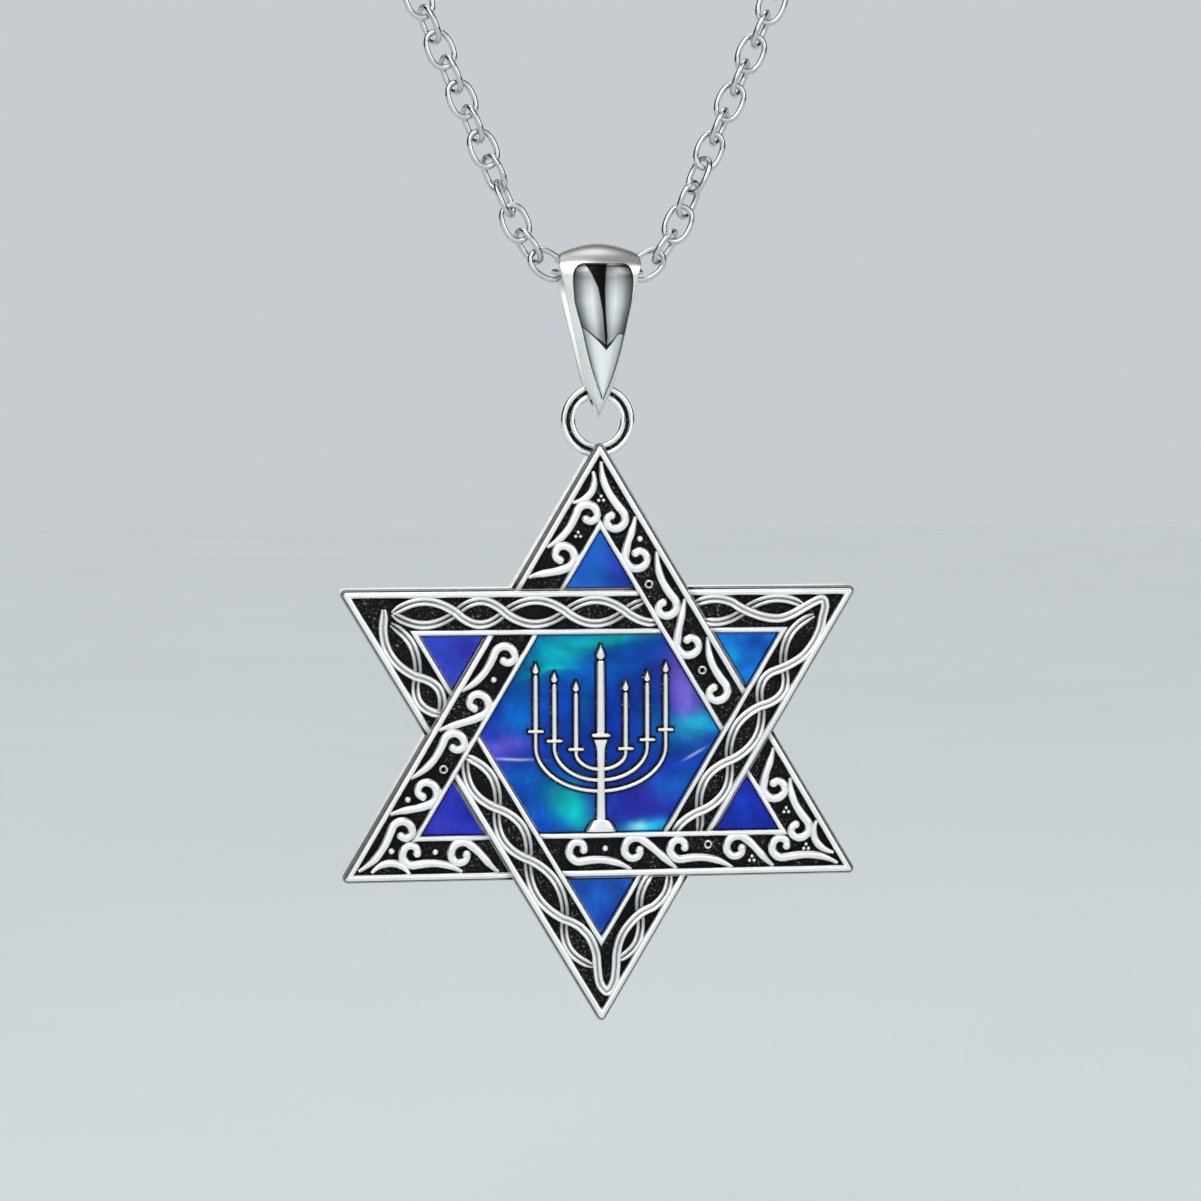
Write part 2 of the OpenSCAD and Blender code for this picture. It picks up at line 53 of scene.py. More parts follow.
X, Y, Z = Vector((1, 0, 0)), Vector((0, 1, 0)), Vector((0, 0, 1))

# The star's plane, as in the part's source: x across, y up, and a level towards the viewer
STAR_W, STAR_H, SIDE_RISE = 22, 24.8, 6.25
BAR_W, OUTER_RIM, INNER_RIM = 2, 0.38, 0.26
CHANNEL_W = BAR_W - OUTER_RIM - INNER_RIM
TIP_R, LEAST_TIP_R = 0.22, 0.012
FLOOR, BACK, POCKET_FLOOR, INLAY_TOP = 0.55, -0.9, -0.16, 0.68
BAIL_POINT = Vector((0, -52, -118))
STAR_CENTRE = Vector((0, -52, -137.495))
RING_CENTRE = Vector((0, -52, -124.115))

# Scrolls that curl down and up: place and depth of the tail's end and of the spiral's middle, as shares of
# the bar and its channel, and the spiral's radius as a share of the channel
SCROLLS_DOWN = [
    (0.04, 0.06, 0.149, 0.65, 0.38), (0.246, 0, 0.347, 0.66, 0.38), (0.442, 0, 0.542, 0.65, 0.38),
    (0.766, 0.03, 0.86, 0.64, 0.38)]
SCROLLS_UP = [
    (0.166, 0.02, 0.237, 0.6, 0.41), (0.354, 0, 0.435, 0.6, 0.41), (0.697, 0, 0.767, 0.57, 0.41)]
SCROLL_W, SCROLL_TOP, SCROLL_TAIL_TOP, SCROLL_BALL_R = 0.39, 0.872, 0.79, 0.21
# First angle, turn, direction in which the tail leaves, and the sense of the turn
DOWN_SPIRAL = (100, 280, (0.85, 0.5), 1)
UP_SPIRAL = (235, 305, (0.8, 0.6), -1)
# How much of its radius a spiral loses, and how late
SPIRAL_CLOSE, SPIRAL_LATE = 0.62, 1.3
# The leaf at the bar's end, as the four points of its curve
LEAF = [(0.866, 0), (0.885, 0.45), (0.915, 0.45), (0.938, 0.06)]
# Small marks between the scrolls: place and depth, their kinds on each bar, and the sizes of each kind
DOT_PLACES = [(0.208, 0.25), (0.293, 0.74), (0.492, 0.68), (0.817, 0.67), (0.9, 0.72)]
DOT_KINDS = [
    ("ball", "ring", "ball", "three", "three"), ("ball", "ring", "ring", "three", "three"),
    ("three", "ring", "ball", "ball", "ball")]
DOT_R, DOT_TOP = 0.16, 0.85
DOT_RING_R, DOT_RING_WIRE, DOT_RING_TOP = 0.15, 0.13, 0.86
THREE_REACH, THREE_R, THREE_TOP = 0.12, 0.1, 0.86

# Where the two strands cross on each bar, as shares of its length, and whether the falling one is on top
CROSSINGS = [
    (0.105, 0.226, 0.318, 0.435, 0.548, 0.662, 0.78, 0.905),
    (0.095, 0.213, 0.3, 0.425, 0.54, 0.66, 0.772, 0.885),
    (0.11, 0.218, 0.358, 0.475, 0.593, 0.69, 0.775, 0.902)]
FALLING_OVER = (True, True, False)
LOBES = 7
STRAND_W, STRAND_DEPTH, STRAND_SWING = 0.41, 0.47, 0.37
# Lower tops come out darker, as the star's silver paints shade by height.
# Tops of the strands: between crossings, what they gain or lose where they cross or end, and at corners
STRAND_TOP, OVER_LIFT, UNDER_LIFT, END_LIFT, CORNER_TOP = 0.84, 0.055, -0.1, -0.05, 0.878
# A strand that dives under a bar: its top there, and how far away it starts to sink
DIVE_TOP, DIVE_REACH = 0.72, 0.4
# A strand's width at its ends as a share of its full width, and over which way it grows to that
TAPER, TAPER_REACH = 0.55, 0.35
# The wave's power, fuller than a sine's, and the step along it in lobes
WAVE_POWER, WAVE_STEP = 0.85, 0.05
# The strands' ways round two corners: bar, place and depth
CORNER_WAYS = [
    [(0, 0.756, 0.25), (0, 0.78, 0.47), (0, 0.812, 0.67), (0, 0.845, 0.74), (0, 0.872, 0.6),
     (0, 0.898, 0.36), (0, 0.927, 0.14), (1, 0.066, 0.34), (1, 0.089, 0.22), (1, 0.111, 0.1),
     (1, 0.141, 0.05), (1, 0.172, 0.11), (1, 0.195, 0.28), (1, 0.213, 0.47), (1, 0.23, 0.69)],
    [(1, 0.75, 0.25), (1, 0.772, 0.47), (1, 0.8, 0.6), (1, 0.83, 0.63), (1, 0.86, 0.5),
     (1, 0.886, 0.28), (1, 0.912, 0.11), (1, 0.936, 0.1), (2, 0.064, 0.36), (2, 0.081, 0.4),
     (2, 0.105, 0.57), (2, 0.131, 0.77), (2, 0.162, 0.84), (2, 0.186, 0.77)],
]

# The ring: outer and inner diameter, and the radius of each of its two wires and of the dark one between
RING_D, RING_BORE, RING_WIRE_R, RING_GROOVE_R = 3.2, 1.9, 0.137, 0.075

# The menorah, from the star's middle
# Each arm: reach, lowest point, height of its bend, cup and candle top
ARMS = [(2.8, -2.47, 1.95, 0.05, 2.54), (2, -2, 1.45, -0.37, 2.16), (1.07, -1.53, 0.72, -0.74, 1.76)]
ARM_W, CANDLE_W, STEM_W = 0.17, 0.22, 0.37
CUP_W, CUP_H, MIDDLE_CUP_W, MIDDLE_CUP_H = 0.66, 0.17, 0.76, 0.2
MIDDLE_CUP, CANDLE_LOW, CANDLE_TOP = -0.07, -0.1, 3.13
FLAME_GAP, FLAME_H, MIDDLE_FLAME_H = 0.07, 0.46, 0.62
FOOT_LOW, FOOT_W, FOOT_H = -4.21, 1.3, 0.52
BACKING_LOW, BACKING_TOP, FIGURE_TOP = INLAY_TOP + 0.005, 0.745, 0.91
BACKING_EDGE = 0.072
# A flame's half widths at shares of its height, the stem's widths at its heights, and the foot's widths
# as shares of its own at shares of its height
FLAME = [
    (0, 0.14), (0.05, 0.22), (0.15, 0.29), (0.3, 0.32), (0.48, 0.29), (0.66, 0.2), (0.84, 0.09), (1, 0.02)]
STEM = [(-0.26, 0.6), (-0.34, 0.58), (-0.44, 0.5), (-0.6, 0.4), (-0.8, 0.36), (-1.2, 0.35), (-2.6, 0.37),
        (-3.4, 0.39), (FOOT_LOW + FOOT_H - 0.05, 0.41)]
FOOT = [(0, 1), (0.12, 1), (0.3, 0.93), (0.5, 0.82), (0.7, 0.72), (0.85, 0.62), (0.95, 0.48), (1, 0.32)]

# The bail's loop round the chain and round the ring, as in the part's source
BAIL_W, BORE_R, WALL, BAIL_DROP = 3.52, 1, 0.45, 4.84
FOOT_BORE_R, FOOT_WALL, FOOT_H_BAIL = 0.5, 0.36, 0.72
BAIL_TOP_R, BAIL_FOOT_R = BORE_R + WALL, FOOT_BORE_R + FOOT_WALL
BAIL_LOW = BAIL_DROP + FOOT_BORE_R + FOOT_H_BAIL
BAIL_FOOT_CENTRE = BAIL_LOW - BAIL_FOOT_R
BAIL_OUTLINE = [
    (0, 0.07), (0.03, 0.13), (0.07, 0.19), (0.15, 0.34), (0.875, 1), (0.93, 0.985), (0.965, 0.92),
    (0.985, 0.83), (1, 0.72)]
# The polished window on its front: height below the chain, left edge and right edge
WINDOW = [
    (0.51, -0.78, 0.96), (0.43, -0.97, 1.17), (0.27, -1.11, 1.3), (0.03, -1.18, 1.38), (-0.35, -1.18, 1.41),
    (-1.12, -1.1, 1.34), (-1.6, -0.97, 1.23), (-2.3, -0.76, 1.08), (-3.1, -0.57, 0.9), (-3.95, -0.34, 0.65),
    (-4.6, -0.12, 0.4), (-5.05, 0.06, 0.19), (-5.23, 0.11, 0.12)]
# Its edges' depth in the bail, the line's width, and how far from its ends it is at its full height
WINDOW_SUNK, WINDOW_LINE_W, FADE_TOP, FADE_LOW = 0.12, 0.045, 0.14, 0.3
# Painted reflections on the window: a dark wedge (height, left, right) and the edge of the light ground
# below it
WEDGE_REFLECTION = [(0.55, -0.76, 0.25), (0.1, -0.46, 0.19), (-0.55, -0.14, 0.16), (-1.55, 0.06, 0.2),
         (-2.6, 0.16, 0.29), (-3.05, 0.21, 0.26)]
HORIZON = [
    (-0.85, -2.2), (-0.7, -2.24), (-0.05, -2.8), (0.24, -3.08), (0.5, -2.82), (0.74, -2.5), (0.86, -2.46),
    (1.2, -2.56)]

# The chain, as in the part's source
LINK_W, LINK_LEN, WIRE_D, PITCH, LINKS = 1.3, 1.82, 0.26, 1.13, 20
# The slopes of the first links, and how far from upright the strands run on
LINK_SLOPES, STRAND_SLOPE = [0, 10, 34, 55], 23.5
# 2 would be an ellipse
LINK_SQUARENESS = 2.3
# How far each link beside the bail is turned from facing forward, by the side it lies on. The photo
# shows a few that are half turned.
TURNS = {-1: [0, 90, 4, 116, 0, 64, 124, 0, 114, 2, 115, -3, 114, 3, 112, 0, 113, -2, 110, 0, 90],
         1: [0, 90, 8, 62, -8, 50, 122, 4, 66, 0, 66, 3, 67, -3, 66, 2, 68, 0, 70, 0, 90]}
NAPE = Vector((0, 58, 22))
SIDE_POINT = Vector((84, 56, 16))
STRAND_RUN = 62
CLASP_LEN, CLASP_D, EYE_D, EYE_WIRE, EYE_GAP = 8, 3, 2.2, 0.5, 0.12


# Shells and pieces

def new_object(name, data):
    obj = bpy.data.objects.new(name, data)
    bpy.context.scene.collection.objects.link(obj)
    return obj


class Shell:
    """Points in millimetres, faces and material numbers of one piece while it is built."""

    def __init__(self):
        self.points, self.faces, self.mats = [], [], []

    def face(self, indices, mat=0):
        self.faces.append(tuple(indices))
        self.mats.append(mat)

    def loft(self, rings, mat=0, closed=False, caps=(True, True)):
        """Skins the rings in order; closed joins the last to the first."""
        first, sides, count = len(self.points), len(rings[0]), len(rings)
        for ring in rings:
            self.points.extend(ring)
        for i in range(count if closed else count - 1):
            here, there = first + i * sides, first + (i + 1) % count * sides
            for j in range(sides):
                k = (j + 1) % sides
                self.face((here + j, here + k, there + k, there + j), mat)
        if not closed:
            if caps[0]:
                self.face(reversed(range(first, first + sides)), mat)
            if caps[1]:
                self.face(range(first + (count - 1) * sides, first + count * sides), mat)
        return first

    def mesh(self, name, materials):
        mesh = bpy.data.meshes.new(name)
        mesh.from_pydata([p * MM for p in self.points], [], self.faces)
        for m in materials:
            mesh.materials.append(m)
        mesh.polygons.foreach_set("material_index", self.mats)
        return mesh

    def piece(self, name, body, materials, sharp=50):
        mesh = self.mesh(name, materials)
        work = bmesh.new()
        work.from_mesh(mesh)
        bmesh.ops.recalc_face_normals(work, faces=work.faces)
        work.to_mesh(mesh)
        work.free()
        mesh.shade_smooth()
        mesh.set_sharp_from_angle(angle=math.radians(sharp))
        obj = new_object(name, mesh)
        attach(obj, body)
        return obj


def at(p, level):
    """A place in the star's plane at a level towards the viewer."""
    return STAR_CENTRE + Vector((p.x, -level, p.y))


def bezier(a, b, c, d, t):
    return (1 - t) ** 3 * a + 3 * (1 - t) ** 2 * t * b + 3 * (1 - t) * t * t * c + t ** 3 * d


def mix(a, b, t):
    return a + (b - a) * t


def steps(low, high, count):
    return [mix(low, high, i / (count - 1)) for i in range(count)]


def compass(degrees):
    a = math.radians(degrees)
    return Vector((math.cos(a), math.sin(a)))


def spokes(count):
    return [compass(360 * j / count) for j in range(count)]


def mirrored(half):
    """A section given up to its middle, with the other half added."""
    return half + [(-u, v) for u, v in reversed(half) if u]


# The two triangles and their bars

def corners(way):
    x, y = STAR_W / 2 + TIP_R, way * SIDE_RISE
    return [Vector((-way * x, -y)), Vector((0, way * (STAR_H / 2 + TIP_R))), Vector((way * x, -y))]


class Bar:
    """One bar of the triangle that points up (way 1) or down (way -1)."""

    def __init__(self, way, k):
        tips = corners(way)
        self.way, self.k = way, k
        self.start = tips[k if way > 0 else (k + 2) % 3]
        self.end = tips[(k + 1) % 3 if way > 0 else k]
        self.ahead = (self.end - self.start).normalized()
        self.inward = Vector((self.ahead.y, -self.ahead.x))
        self.length = (self.end - self.start).length

    def place(self, along, depth):
        return self.start + along * self.ahead + depth * self.inward

    def depth(self, p):
        return (p - self.start).dot(self.inward)

    def share(self, s, depth):
        """A place in the tables' shares, as millimetres along the bar and down from its edge."""
        return Vector((s * self.length, OUTER_RIM + depth * CHANNEL_W))

    def at_share(self, s, depth):
        return self.place(*self.share(s, depth))

    def meets(self, depth, other, other_depth):
        """Where this bar's line at one depth meets another bar's line at its own depth."""
        line = self.start + depth * self.inward
        along = (other_depth - other.depth(line)) / self.ahead.dot(other.inward)
        return line + along * self.ahead


BARS = {way: [Bar(way, k) for k in range(3)] for way in (1, -1)}


def next_bar(bar):
    return BARS[bar.way][(bar.k + 1) % 3]


def bar_over(bar):
    """The other triangle's bar that this one dives under."""
    return BARS[-bar.way][bar.k if bar.way > 0 else (bar.k + 1) % 3]


def corner_arc(bar, depth, count=8):
    """Round the corner at the bar's end, at one depth from the triangle's edges."""
    after = next_bar(bar)
    radius = max(TIP_R - depth, LEAST_TIP_R)
    middle = bar.meets(depth + radius, after, depth + radius)
    first, last = -bar.inward, -after.inward
    turn = first.angle_signed(last)
    out = []
    for t in steps(0, 1, count):
        v = first.copy()
        v.rotate(Matrix.Rotation(-turn * t, 2))
        out.append(middle + radius * v)
    return out


def silhouette(inset):
    """The star's outline, clockwise from the first notch."""
    out = []
    for k in range(3):
        up, down = BARS[1][k], BARS[-1][k]
        out.append(up.meets(inset, down, inset))
        out.extend(corner_arc(up, inset))
        out.append(next_bar(up).meets(inset, down, inset))
        out.extend(corner_arc(down, inset))
    return out


def windows():
    """Outlines of the seven windows, the middle one first."""
    up, down = BARS[1], BARS[-1]
    out = [[up[k].meets(BAR_W, down[j], BAR_W) for k in range(3) for j in (k - 1, k)]]
    for bar in up + down:
        after, edge = next_bar(bar), bar_over(bar)
        out.append([bar.meets(BAR_W, edge, 0), bar.meets(BAR_W, after, BAR_W), after.meets(BAR_W, edge, 0)])
    return out


# The cast plate: walls, channel floors and pockets

def plate(shell):
    wall = [(0.1, BACK), (0.03, BACK + 0.03), (0, BACK + 0.1), (0, FLOOR)]
    first = shell.loft([[at(p, level) for p in silhouette(inset)] for inset, level in wall],
                       caps=(True, False))
    loops = [silhouette(0)]
    count = len(loops[0])
    index = list(range(first + (len(wall) - 1) * count, first + len(wall) * count))
    for outline in windows():
        start = shell.loft([[at(p, level) for p in outline] for level in (FLOOR, POCKET_FLOOR)],
                           caps=(False, True))
        loops.append(outline)
        index.extend(range(start, start + len(outline)))
    flat = [[Vector((p.x, STAR_CENTRE.z + p.y, 0)) for p in loop] for loop in loops]
    for a, b, c in tessellate_polygon(flat):
        shell.face((index[a], index[b], index[c]), 1)


# Rails: depth from the bar's edge and level of each point of their sections
RAIL_FOOT = FLOOR - 0.03
OUTER_RAIL = [
    (0.003, RAIL_FOOT), (0.003, 0.66), (0.012, 0.715), (0.035, 0.745), (0.062, 0.745), (0.078, 0.71),
    (0.094, 0.735), (0.104, 0.8), (0.125, 0.852), (0.165, 0.884), (0.215, 0.898), (0.27, 0.898),
    (0.32, 0.88), (0.355, 0.845), (0.376, 0.79), (OUTER_RIM, 0.7), (OUTER_RIM, RAIL_FOOT)]
INNER_RAIL = [(BAR_W - INNER_RIM + d, level) for d, level in
              [(0, RAIL_FOOT), (0, 0.72), (0.008, 0.79), (0.03, 0.845), (0.07, 0.882), (0.12, 0.895),
               (0.165, 0.888), (0.205, 0.86), (0.235, 0.815), (0.254, 0.74), (0.257, 0.6),
               (0.257, RAIL_FOOT)]]
# Dipped rails come out darker, as the star's silver paints shade by height.
# How far from the bar that passes over, and how much of their height the rails keep there
DIPS = [(-0.2, 0.6), (0, 0.66), (0.25, 0.86), (0.7, 1)]
# The rails rise again over a shorter way where they come out
AFTER_DIP = 0.65


def rails(shell, section):
    depths = [d for d, _ in section]
    for bar in BARS[1] + BARS[-1]:
        after = next_bar(bar)
        over, over_after = bar_over(bar), bar_over(after)
        line = [([bar.meets(d, over, -clear) for d in depths], keep) for clear, keep in DIPS]
        line += [(points, 1) for points in zip(*(corner_arc(bar, d) for d in depths))]
        line += [([after.meets(d, over_after, BAR_W + clear * AFTER_DIP) for d in depths], keep)
                 for clear, keep in reversed(DIPS)]
        shell.loft([[at(p, mix(RAIL_FOOT, level, keep)) for p, (_, level) in zip(points, section)]
                    for points, keep in line])


# Scrolls and twisted strands, swept over the channel floors
ROUND = mirrored([(-1, 0), (-1, 0.42), (-0.93, 0.68), (-0.76, 0.86), (-0.45, 0.97), (0, 1)])
TWO_RIDGES = mirrored([(-1, 0), (-1, 0.5), (-0.95, 0.8), (-0.82, 0.95), (-0.56, 1), (-0.3, 0.97),
                       (-0.15, 0.86), (-0.06, 0.66)])
LOW = FLOOR - 0.04


def sweep(shell, line, widths, tops, section, low=LOW, mat=0):
    rings = []
    for i, p in enumerate(line):
        d = (line[min(i + 1, len(line) - 1)] - line[max(i - 1, 0)]).normalized()
        side = Vector((-d.y, d.x)) * widths[i] / 2
        rings.append([at(p + u * side, mix(low, tops[i], v)) for u, v in section])
    shell.loft(rings, mat)


def ball(shell, middle, radius, top, sides=18):
    rise = [(1, 0), (1, 0.45), (0.93, 0.68), (0.76, 0.86), (0.45, 0.97), (0.15, 1)]
    shell.loft([[at(middle + radius * r * c, mix(LOW, top, v)) for c in spokes(sides)] for r, v in rise])


def small_ring(shell, middle, radius, wire, top, sides=20):
    section = mirrored([(-1, 0), (-1, 0.55), (-0.7, 0.9), (0, 1)])
    shell.loft([[at(middle + (radius + u * wire / 2) * c, mix(LOW, top, v)) for u, v in section]
                for c in spokes(sides)], closed=True)


def arc_lengths(line):
    out = [0]
    for a, b in zip(line, line[1:]):
        out.append(out[-1] + (b - a).length)
    return out


def visible_runs(line, tops, bar):
    """The parts of a line that aren't under the bar that passes over this one, sinking where they dive."""
    over = bar_over(bar)
    low, high = OUTER_RIM / 2, BAR_W - INNER_RIM / 2
    if not any(-0.2 < bar.depth(p) < BAR_W + 0.2 and low < over.depth(p) < high for p in line):
        return [(line, tops)]
    runs, run, last = [], [], None
    for p, top in zip(line, tops):
        e = over.depth(p)
        hidden = low < e < high and -0.3 < bar.depth(p) < BAR_W + 0.3
        if last and hidden != last[2]:
            q, before, _ = last
            limit = low if min(e, before) <= low <= max(e, before) else high
            run.append((q.lerp(p, (limit - before) / (e - before)), DIVE_TOP, True))
        if hidden:
            if run:
                runs.append(run)
            run = []
        else:
            run.append((p, top, False))
        last = (p, e, hidden)
    out = []
    for run in runs + [run]:
        if len(run) < 3:
            continue
        points = [r[0] for r in run]
        along = arc_lengths(points)
        new = []
        for i, (_, top, _) in enumerate(run):
            for cut, gone in ((run[0][2], along[i]), (run[-1][2], along[-1] - along[i])):
                if cut and gone < DIVE_REACH:
                    t = gone / DIVE_REACH
                    top = min(top, mix(DIVE_TOP, top, t * t * (3 - 2 * t)))
            new.append(top)
        out.append((points, new))
    return out


def scroll_line(bar, row, spiral):
    first, total, leaves, turn = spiral
    tail, mid = bar.share(row[0], row[1]), bar.share(row[2], row[3])

    def spoke(a, close=0):
        c = compass(a)
        return row[4] * CHANNEL_W * (1 - close) * Vector((c.x, -c.y))

    entry, c = mid + spoke(first), compass(first)
    reach = 0.4 * (entry - tail).length
    bend = (tail, tail + reach * Vector(leaves), entry - reach * turn * Vector((c.y, c.x)), entry)
    points = [bezier(*bend, t / 12) for t in range(12)]
    points += [mid + spoke(first - turn * total * t, SPIRAL_CLOSE * t ** SPIRAL_LATE)
               for t in steps(0, 1, 25)]
    return [bar.place(*p) for p in points]


def scrolls(shell):
    for bar in BARS[1]:
        for rows, spiral in ((SCROLLS_DOWN, DOWN_SPIRAL), (SCROLLS_UP, UP_SPIRAL)):
            for row in rows:
                line = scroll_line(bar, row, spiral)
                grow = [min(1, 0.5 + 0.12 * i) for i in range(len(line))]
                swell = [1.08 if 8 < i < 24 else 1 for i in range(len(line))]
                widths = [SCROLL_W * g * s for g, s in zip(grow, swell)]
                heights = [mix(SCROLL_TAIL_TOP, SCROLL_TOP, min(1, i / 5)) for i in range(len(line))]
                sweep(shell, line, widths, heights, ROUND)
                ball(shell, line[-1], SCROLL_BALL_R, SCROLL_TOP + 0.012)
        for place, kind in zip(DOT_PLACES, DOT_KINDS[bar.k]):
            p = bar.at_share(*place)
            if kind == "ball":
                ball(shell, p, DOT_R, DOT_TOP)
            elif kind == "ring":
                small_ring(shell, p, DOT_RING_R, DOT_RING_WIRE, DOT_RING_TOP)
            else:
                for a in (90, 210, 330):
                    ball(shell, p + THREE_REACH * compass(a), THREE_R, THREE_TOP, sides=10)
        bend = [bar.share(*p) for p in LEAF]
        line = [bar.place(*bezier(*bend, i / 14)) for i in range(15)]
        widths = [SCROLL_W * min(1, 0.45 + 0.12 * min(i, 14 - i)) for i in range(15)]
        sweep(shell, line, widths, [SCROLL_TOP - 0.02] * 15, ROUND)


def over_swing(k, n):
    if n == LOBES:
        return 1
    return (1 if n % 2 == 0 else -1) * (-1 if FALLING_OVER[k] else 1)


def strand_part(k, swing, first, last):
    """Points, tops and bar of one strand along a bar, between two places counted in lobes."""
    bar = BARS[-1][k]
    out = []
    for t in steps(first, last, round((last - first) / WAVE_STEP) + 1):
        lobe = min(int(t), LOBES - 1)
        s = mix(CROSSINGS[k][lobe], CROSSINGS[k][lobe + 1], t - lobe)
        wave = math.sin(math.pi * t)
        wave = math.copysign(abs(wave) ** WAVE_POWER, wave)
        n = round(t)
        near = math.cos(math.pi * (t - n)) ** 2
        lift = OVER_LIFT if over_swing(k, n) == swing else UNDER_LIFT
        if n == 0 or n == LOBES and k != 2:
            lift = END_LIFT
        depth = STRAND_DEPTH - swing * STRAND_SWING * wave
        out.append((bar.at_share(s, depth), STRAND_TOP + lift * near, bar))
    return out


def corner_part(way):
    """A strand's way round a corner, as one smooth line."""
    p = [BARS[-1][k].at_share(s, depth) for k, s, depth in way]
    out = []
    for i in range(len(p) - 1):
        before = p[i - 1] if i else 2 * p[0] - p[1]
        after = p[i + 2] if i < len(p) - 2 else 2 * p[-1] - p[-2]
        for j in range(4):
            q = bezier(p[i], p[i] + (p[i + 1] - before) / 6, p[i + 1] - (after - p[i]) / 6, p[i + 1], j / 4)
            out.append((q, CORNER_TOP, BARS[-1][way[i][0]]))
    return out[1:]


def strands(shell):
    # Each line of strand, with where it starts and ends on its bars counted in lobes
    lines = [
        strand_part(0, 1, 0, 6.9),
        strand_part(0, -1, 0, 5.8) + corner_part(CORNER_WAYS[0]) + strand_part(1, 1, 1.22, 6.9),
        strand_part(1, -1, 0, 5.8) + corner_part(CORNER_WAYS[1]) + strand_part(2, -1, 0.72, 6.9),
        strand_part(2, 1, 0, 7.15),
    ]
    for line in lines:
        runs = [([r[0] for r in line], [r[1] for r in line])]
        for bar in BARS[-1]:
            if any(r[2] is bar for r in line):
                runs = [new for points, tops in runs for new in visible_runs(points, tops, bar)]
        for points, tops in runs:
            along = arc_lengths(points)
            ends = [min(a, along[-1] - a) for a in along]
            widths = [STRAND_W * min(1, mix(TAPER, 1, end / TAPER_REACH)) for end in ends]
            sweep(shell, points, widths, tops, TWO_RIDGES)


# The ring

def torus(shell, middle, ahead, across, major, tube, count=72, sides=16, mat=0):
    """A round ring of wire in the plane of ahead and across."""
    out = ahead.cross(across)
    rings = []
    for c in spokes(count):
        spoke = c.x * ahead + c.y * across
        rings.append([middle + (major + tube * e.x) * spoke + tube * e.y * out for e in spokes(sides)])
    shell.loft(rings, mat, closed=True)


def ring(shell):
    outer, inner = RING_D / 2 - RING_WIRE_R, RING_BORE / 2 + RING_WIRE_R
    for major in (outer, inner):
        torus(shell, RING_CENTRE, X, Z, major, RING_WIRE_R)
    torus(shell, RING_CENTRE, X, Z, (outer + inner) / 2, RING_GROOVE_R, mat=1)


# The menorah

HALF_ROUND = mirrored([(-1, 0), (-1, 0.35), (-0.92, 0.62), (-0.72, 0.84), (-0.4, 0.96), (0, 1)])
FLAT_TOP = [(-1, 0), (-1, 1), (1, 1), (1, 0)]


def rod(shell, line, widths, figure, top=FIGURE_TOP):
    """A line of the menorah: its silver, or where figure is false its dark backing."""
    if figure:
        sweep(shell, line, widths, [top] * len(line), HALF_ROUND, low=BACKING_TOP - 0.02)
    else:
        wide = [w + 2 * BACKING_EDGE for w in widths]
        first, last = (line[1] - line[0]).normalized(), (line[-1] - line[-2]).normalized()
        longer = [line[0] - BACKING_EDGE * first] + line[1:-1] + [line[-1] + BACKING_EDGE * last]
        sweep(shell, longer, wide, [BACKING_TOP] * len(line), FLAT_TOP, low=BACKING_LOW, mat=1)


def upright(x, places):
    return [Vector((x, z)) for z in places]


def flame(shell, x, low, height, figure):
    line = upright(x, [low + height * share for share, _ in FLAME])
    rod(shell, line, [2 * height * half for _, half in FLAME], figure)


def candle(shell, x, low, high, width, figure):
    """A candle with softly rounded ends."""
    places = [low, low + 0.04, low + 0.1, high - 0.1, high - 0.03, high]
    rod(shell, upright(x, places), [width] * 4 + [0.88 * width, 0.6 * width], figure)


def cup(shell, x, z, width, height, figure):
    line = [Vector((x + u * width / 2, z)) for u in (-1, -0.93, -0.7, 0.7, 0.93, 1)]
    rod(shell, line, [height * h for h in (0.55, 0.9, 1, 1, 0.9, 0.55)], figure, FIGURE_TOP + 0.025)


def menorah_part(shell, figure):
    for reach, low, bend, cup_z, top in ARMS:
        for x in (-reach, reach):
            line = [Vector((x, cup_z))]
            line += [Vector((x * c.x, low + bend * (1 - c.y))) for c in map(compass, steps(0, 90, 15))]
            rod(shell, line, [ARM_W] * len(line), figure, FIGURE_TOP - 0.03)
            candle(shell, x, cup_z + 0.02, top, CANDLE_W, figure)
            cup(shell, x, cup_z + CUP_H / 2, CUP_W, CUP_H, figure)
            flame(shell, x, top + FLAME_GAP, FLAME_H, figure)
    candle(shell, 0, CANDLE_LOW, CANDLE_TOP, STEM_W, figure)
    flame(shell, 0, CANDLE_TOP + FLAME_GAP, MIDDLE_FLAME_H, figure)
    cup(shell, 0, MIDDLE_CUP, MIDDLE_CUP_W, MIDDLE_CUP_H, figure)
    rod(shell, upright(0, [z for z, _ in STEM]), [w for _, w in STEM], figure)
    rod(shell, upright(0, [FOOT_LOW + FOOT_H * h for h, _ in FOOT]), [FOOT_W * w for _, w in FOOT], figure,
        FIGURE_TOP + 0.03)


# The bail

def table(rows, x, column=1):
    """Straight-line reading of a table whose first column rises or falls."""
    for a, b in zip(rows, rows[1:]):
        if min(a[0], b[0]) <= x <= max(a[0], b[0]):
            return mix(a[column], b[column], (x - a[0]) / (b[0] - a[0]))
    return min(rows[0], rows[-1], key=lambda row: abs(row[0] - x))[column]


def tangent(upper, lower, drop):
    """The angle from the top at which two circles meet their shared tangent."""
    return 90 + math.degrees(math.asin((upper - lower) / drop))


def loop_station(upper, lower, drop, turn):
    """A place on two circles and their tangents: 0 is the top, 1 to 2 the front, 3 the foot, 6 the top."""
    if turn > 3:
        back = loop_station(upper, lower, drop, 6 - turn)
        return Vector((-back.x, back.y))
    edge, foot = tangent(upper, lower, drop), Vector((0, -drop))
    if turn <= 1:
        return upper * compass(90 + turn * edge)
    if turn < 2:
        return (upper * compass(90 + edge)).lerp(foot + lower * compass(90 + edge), turn - 1)
    return foot + lower * compass(90 + edge + (turn - 2) * (180 - edge))


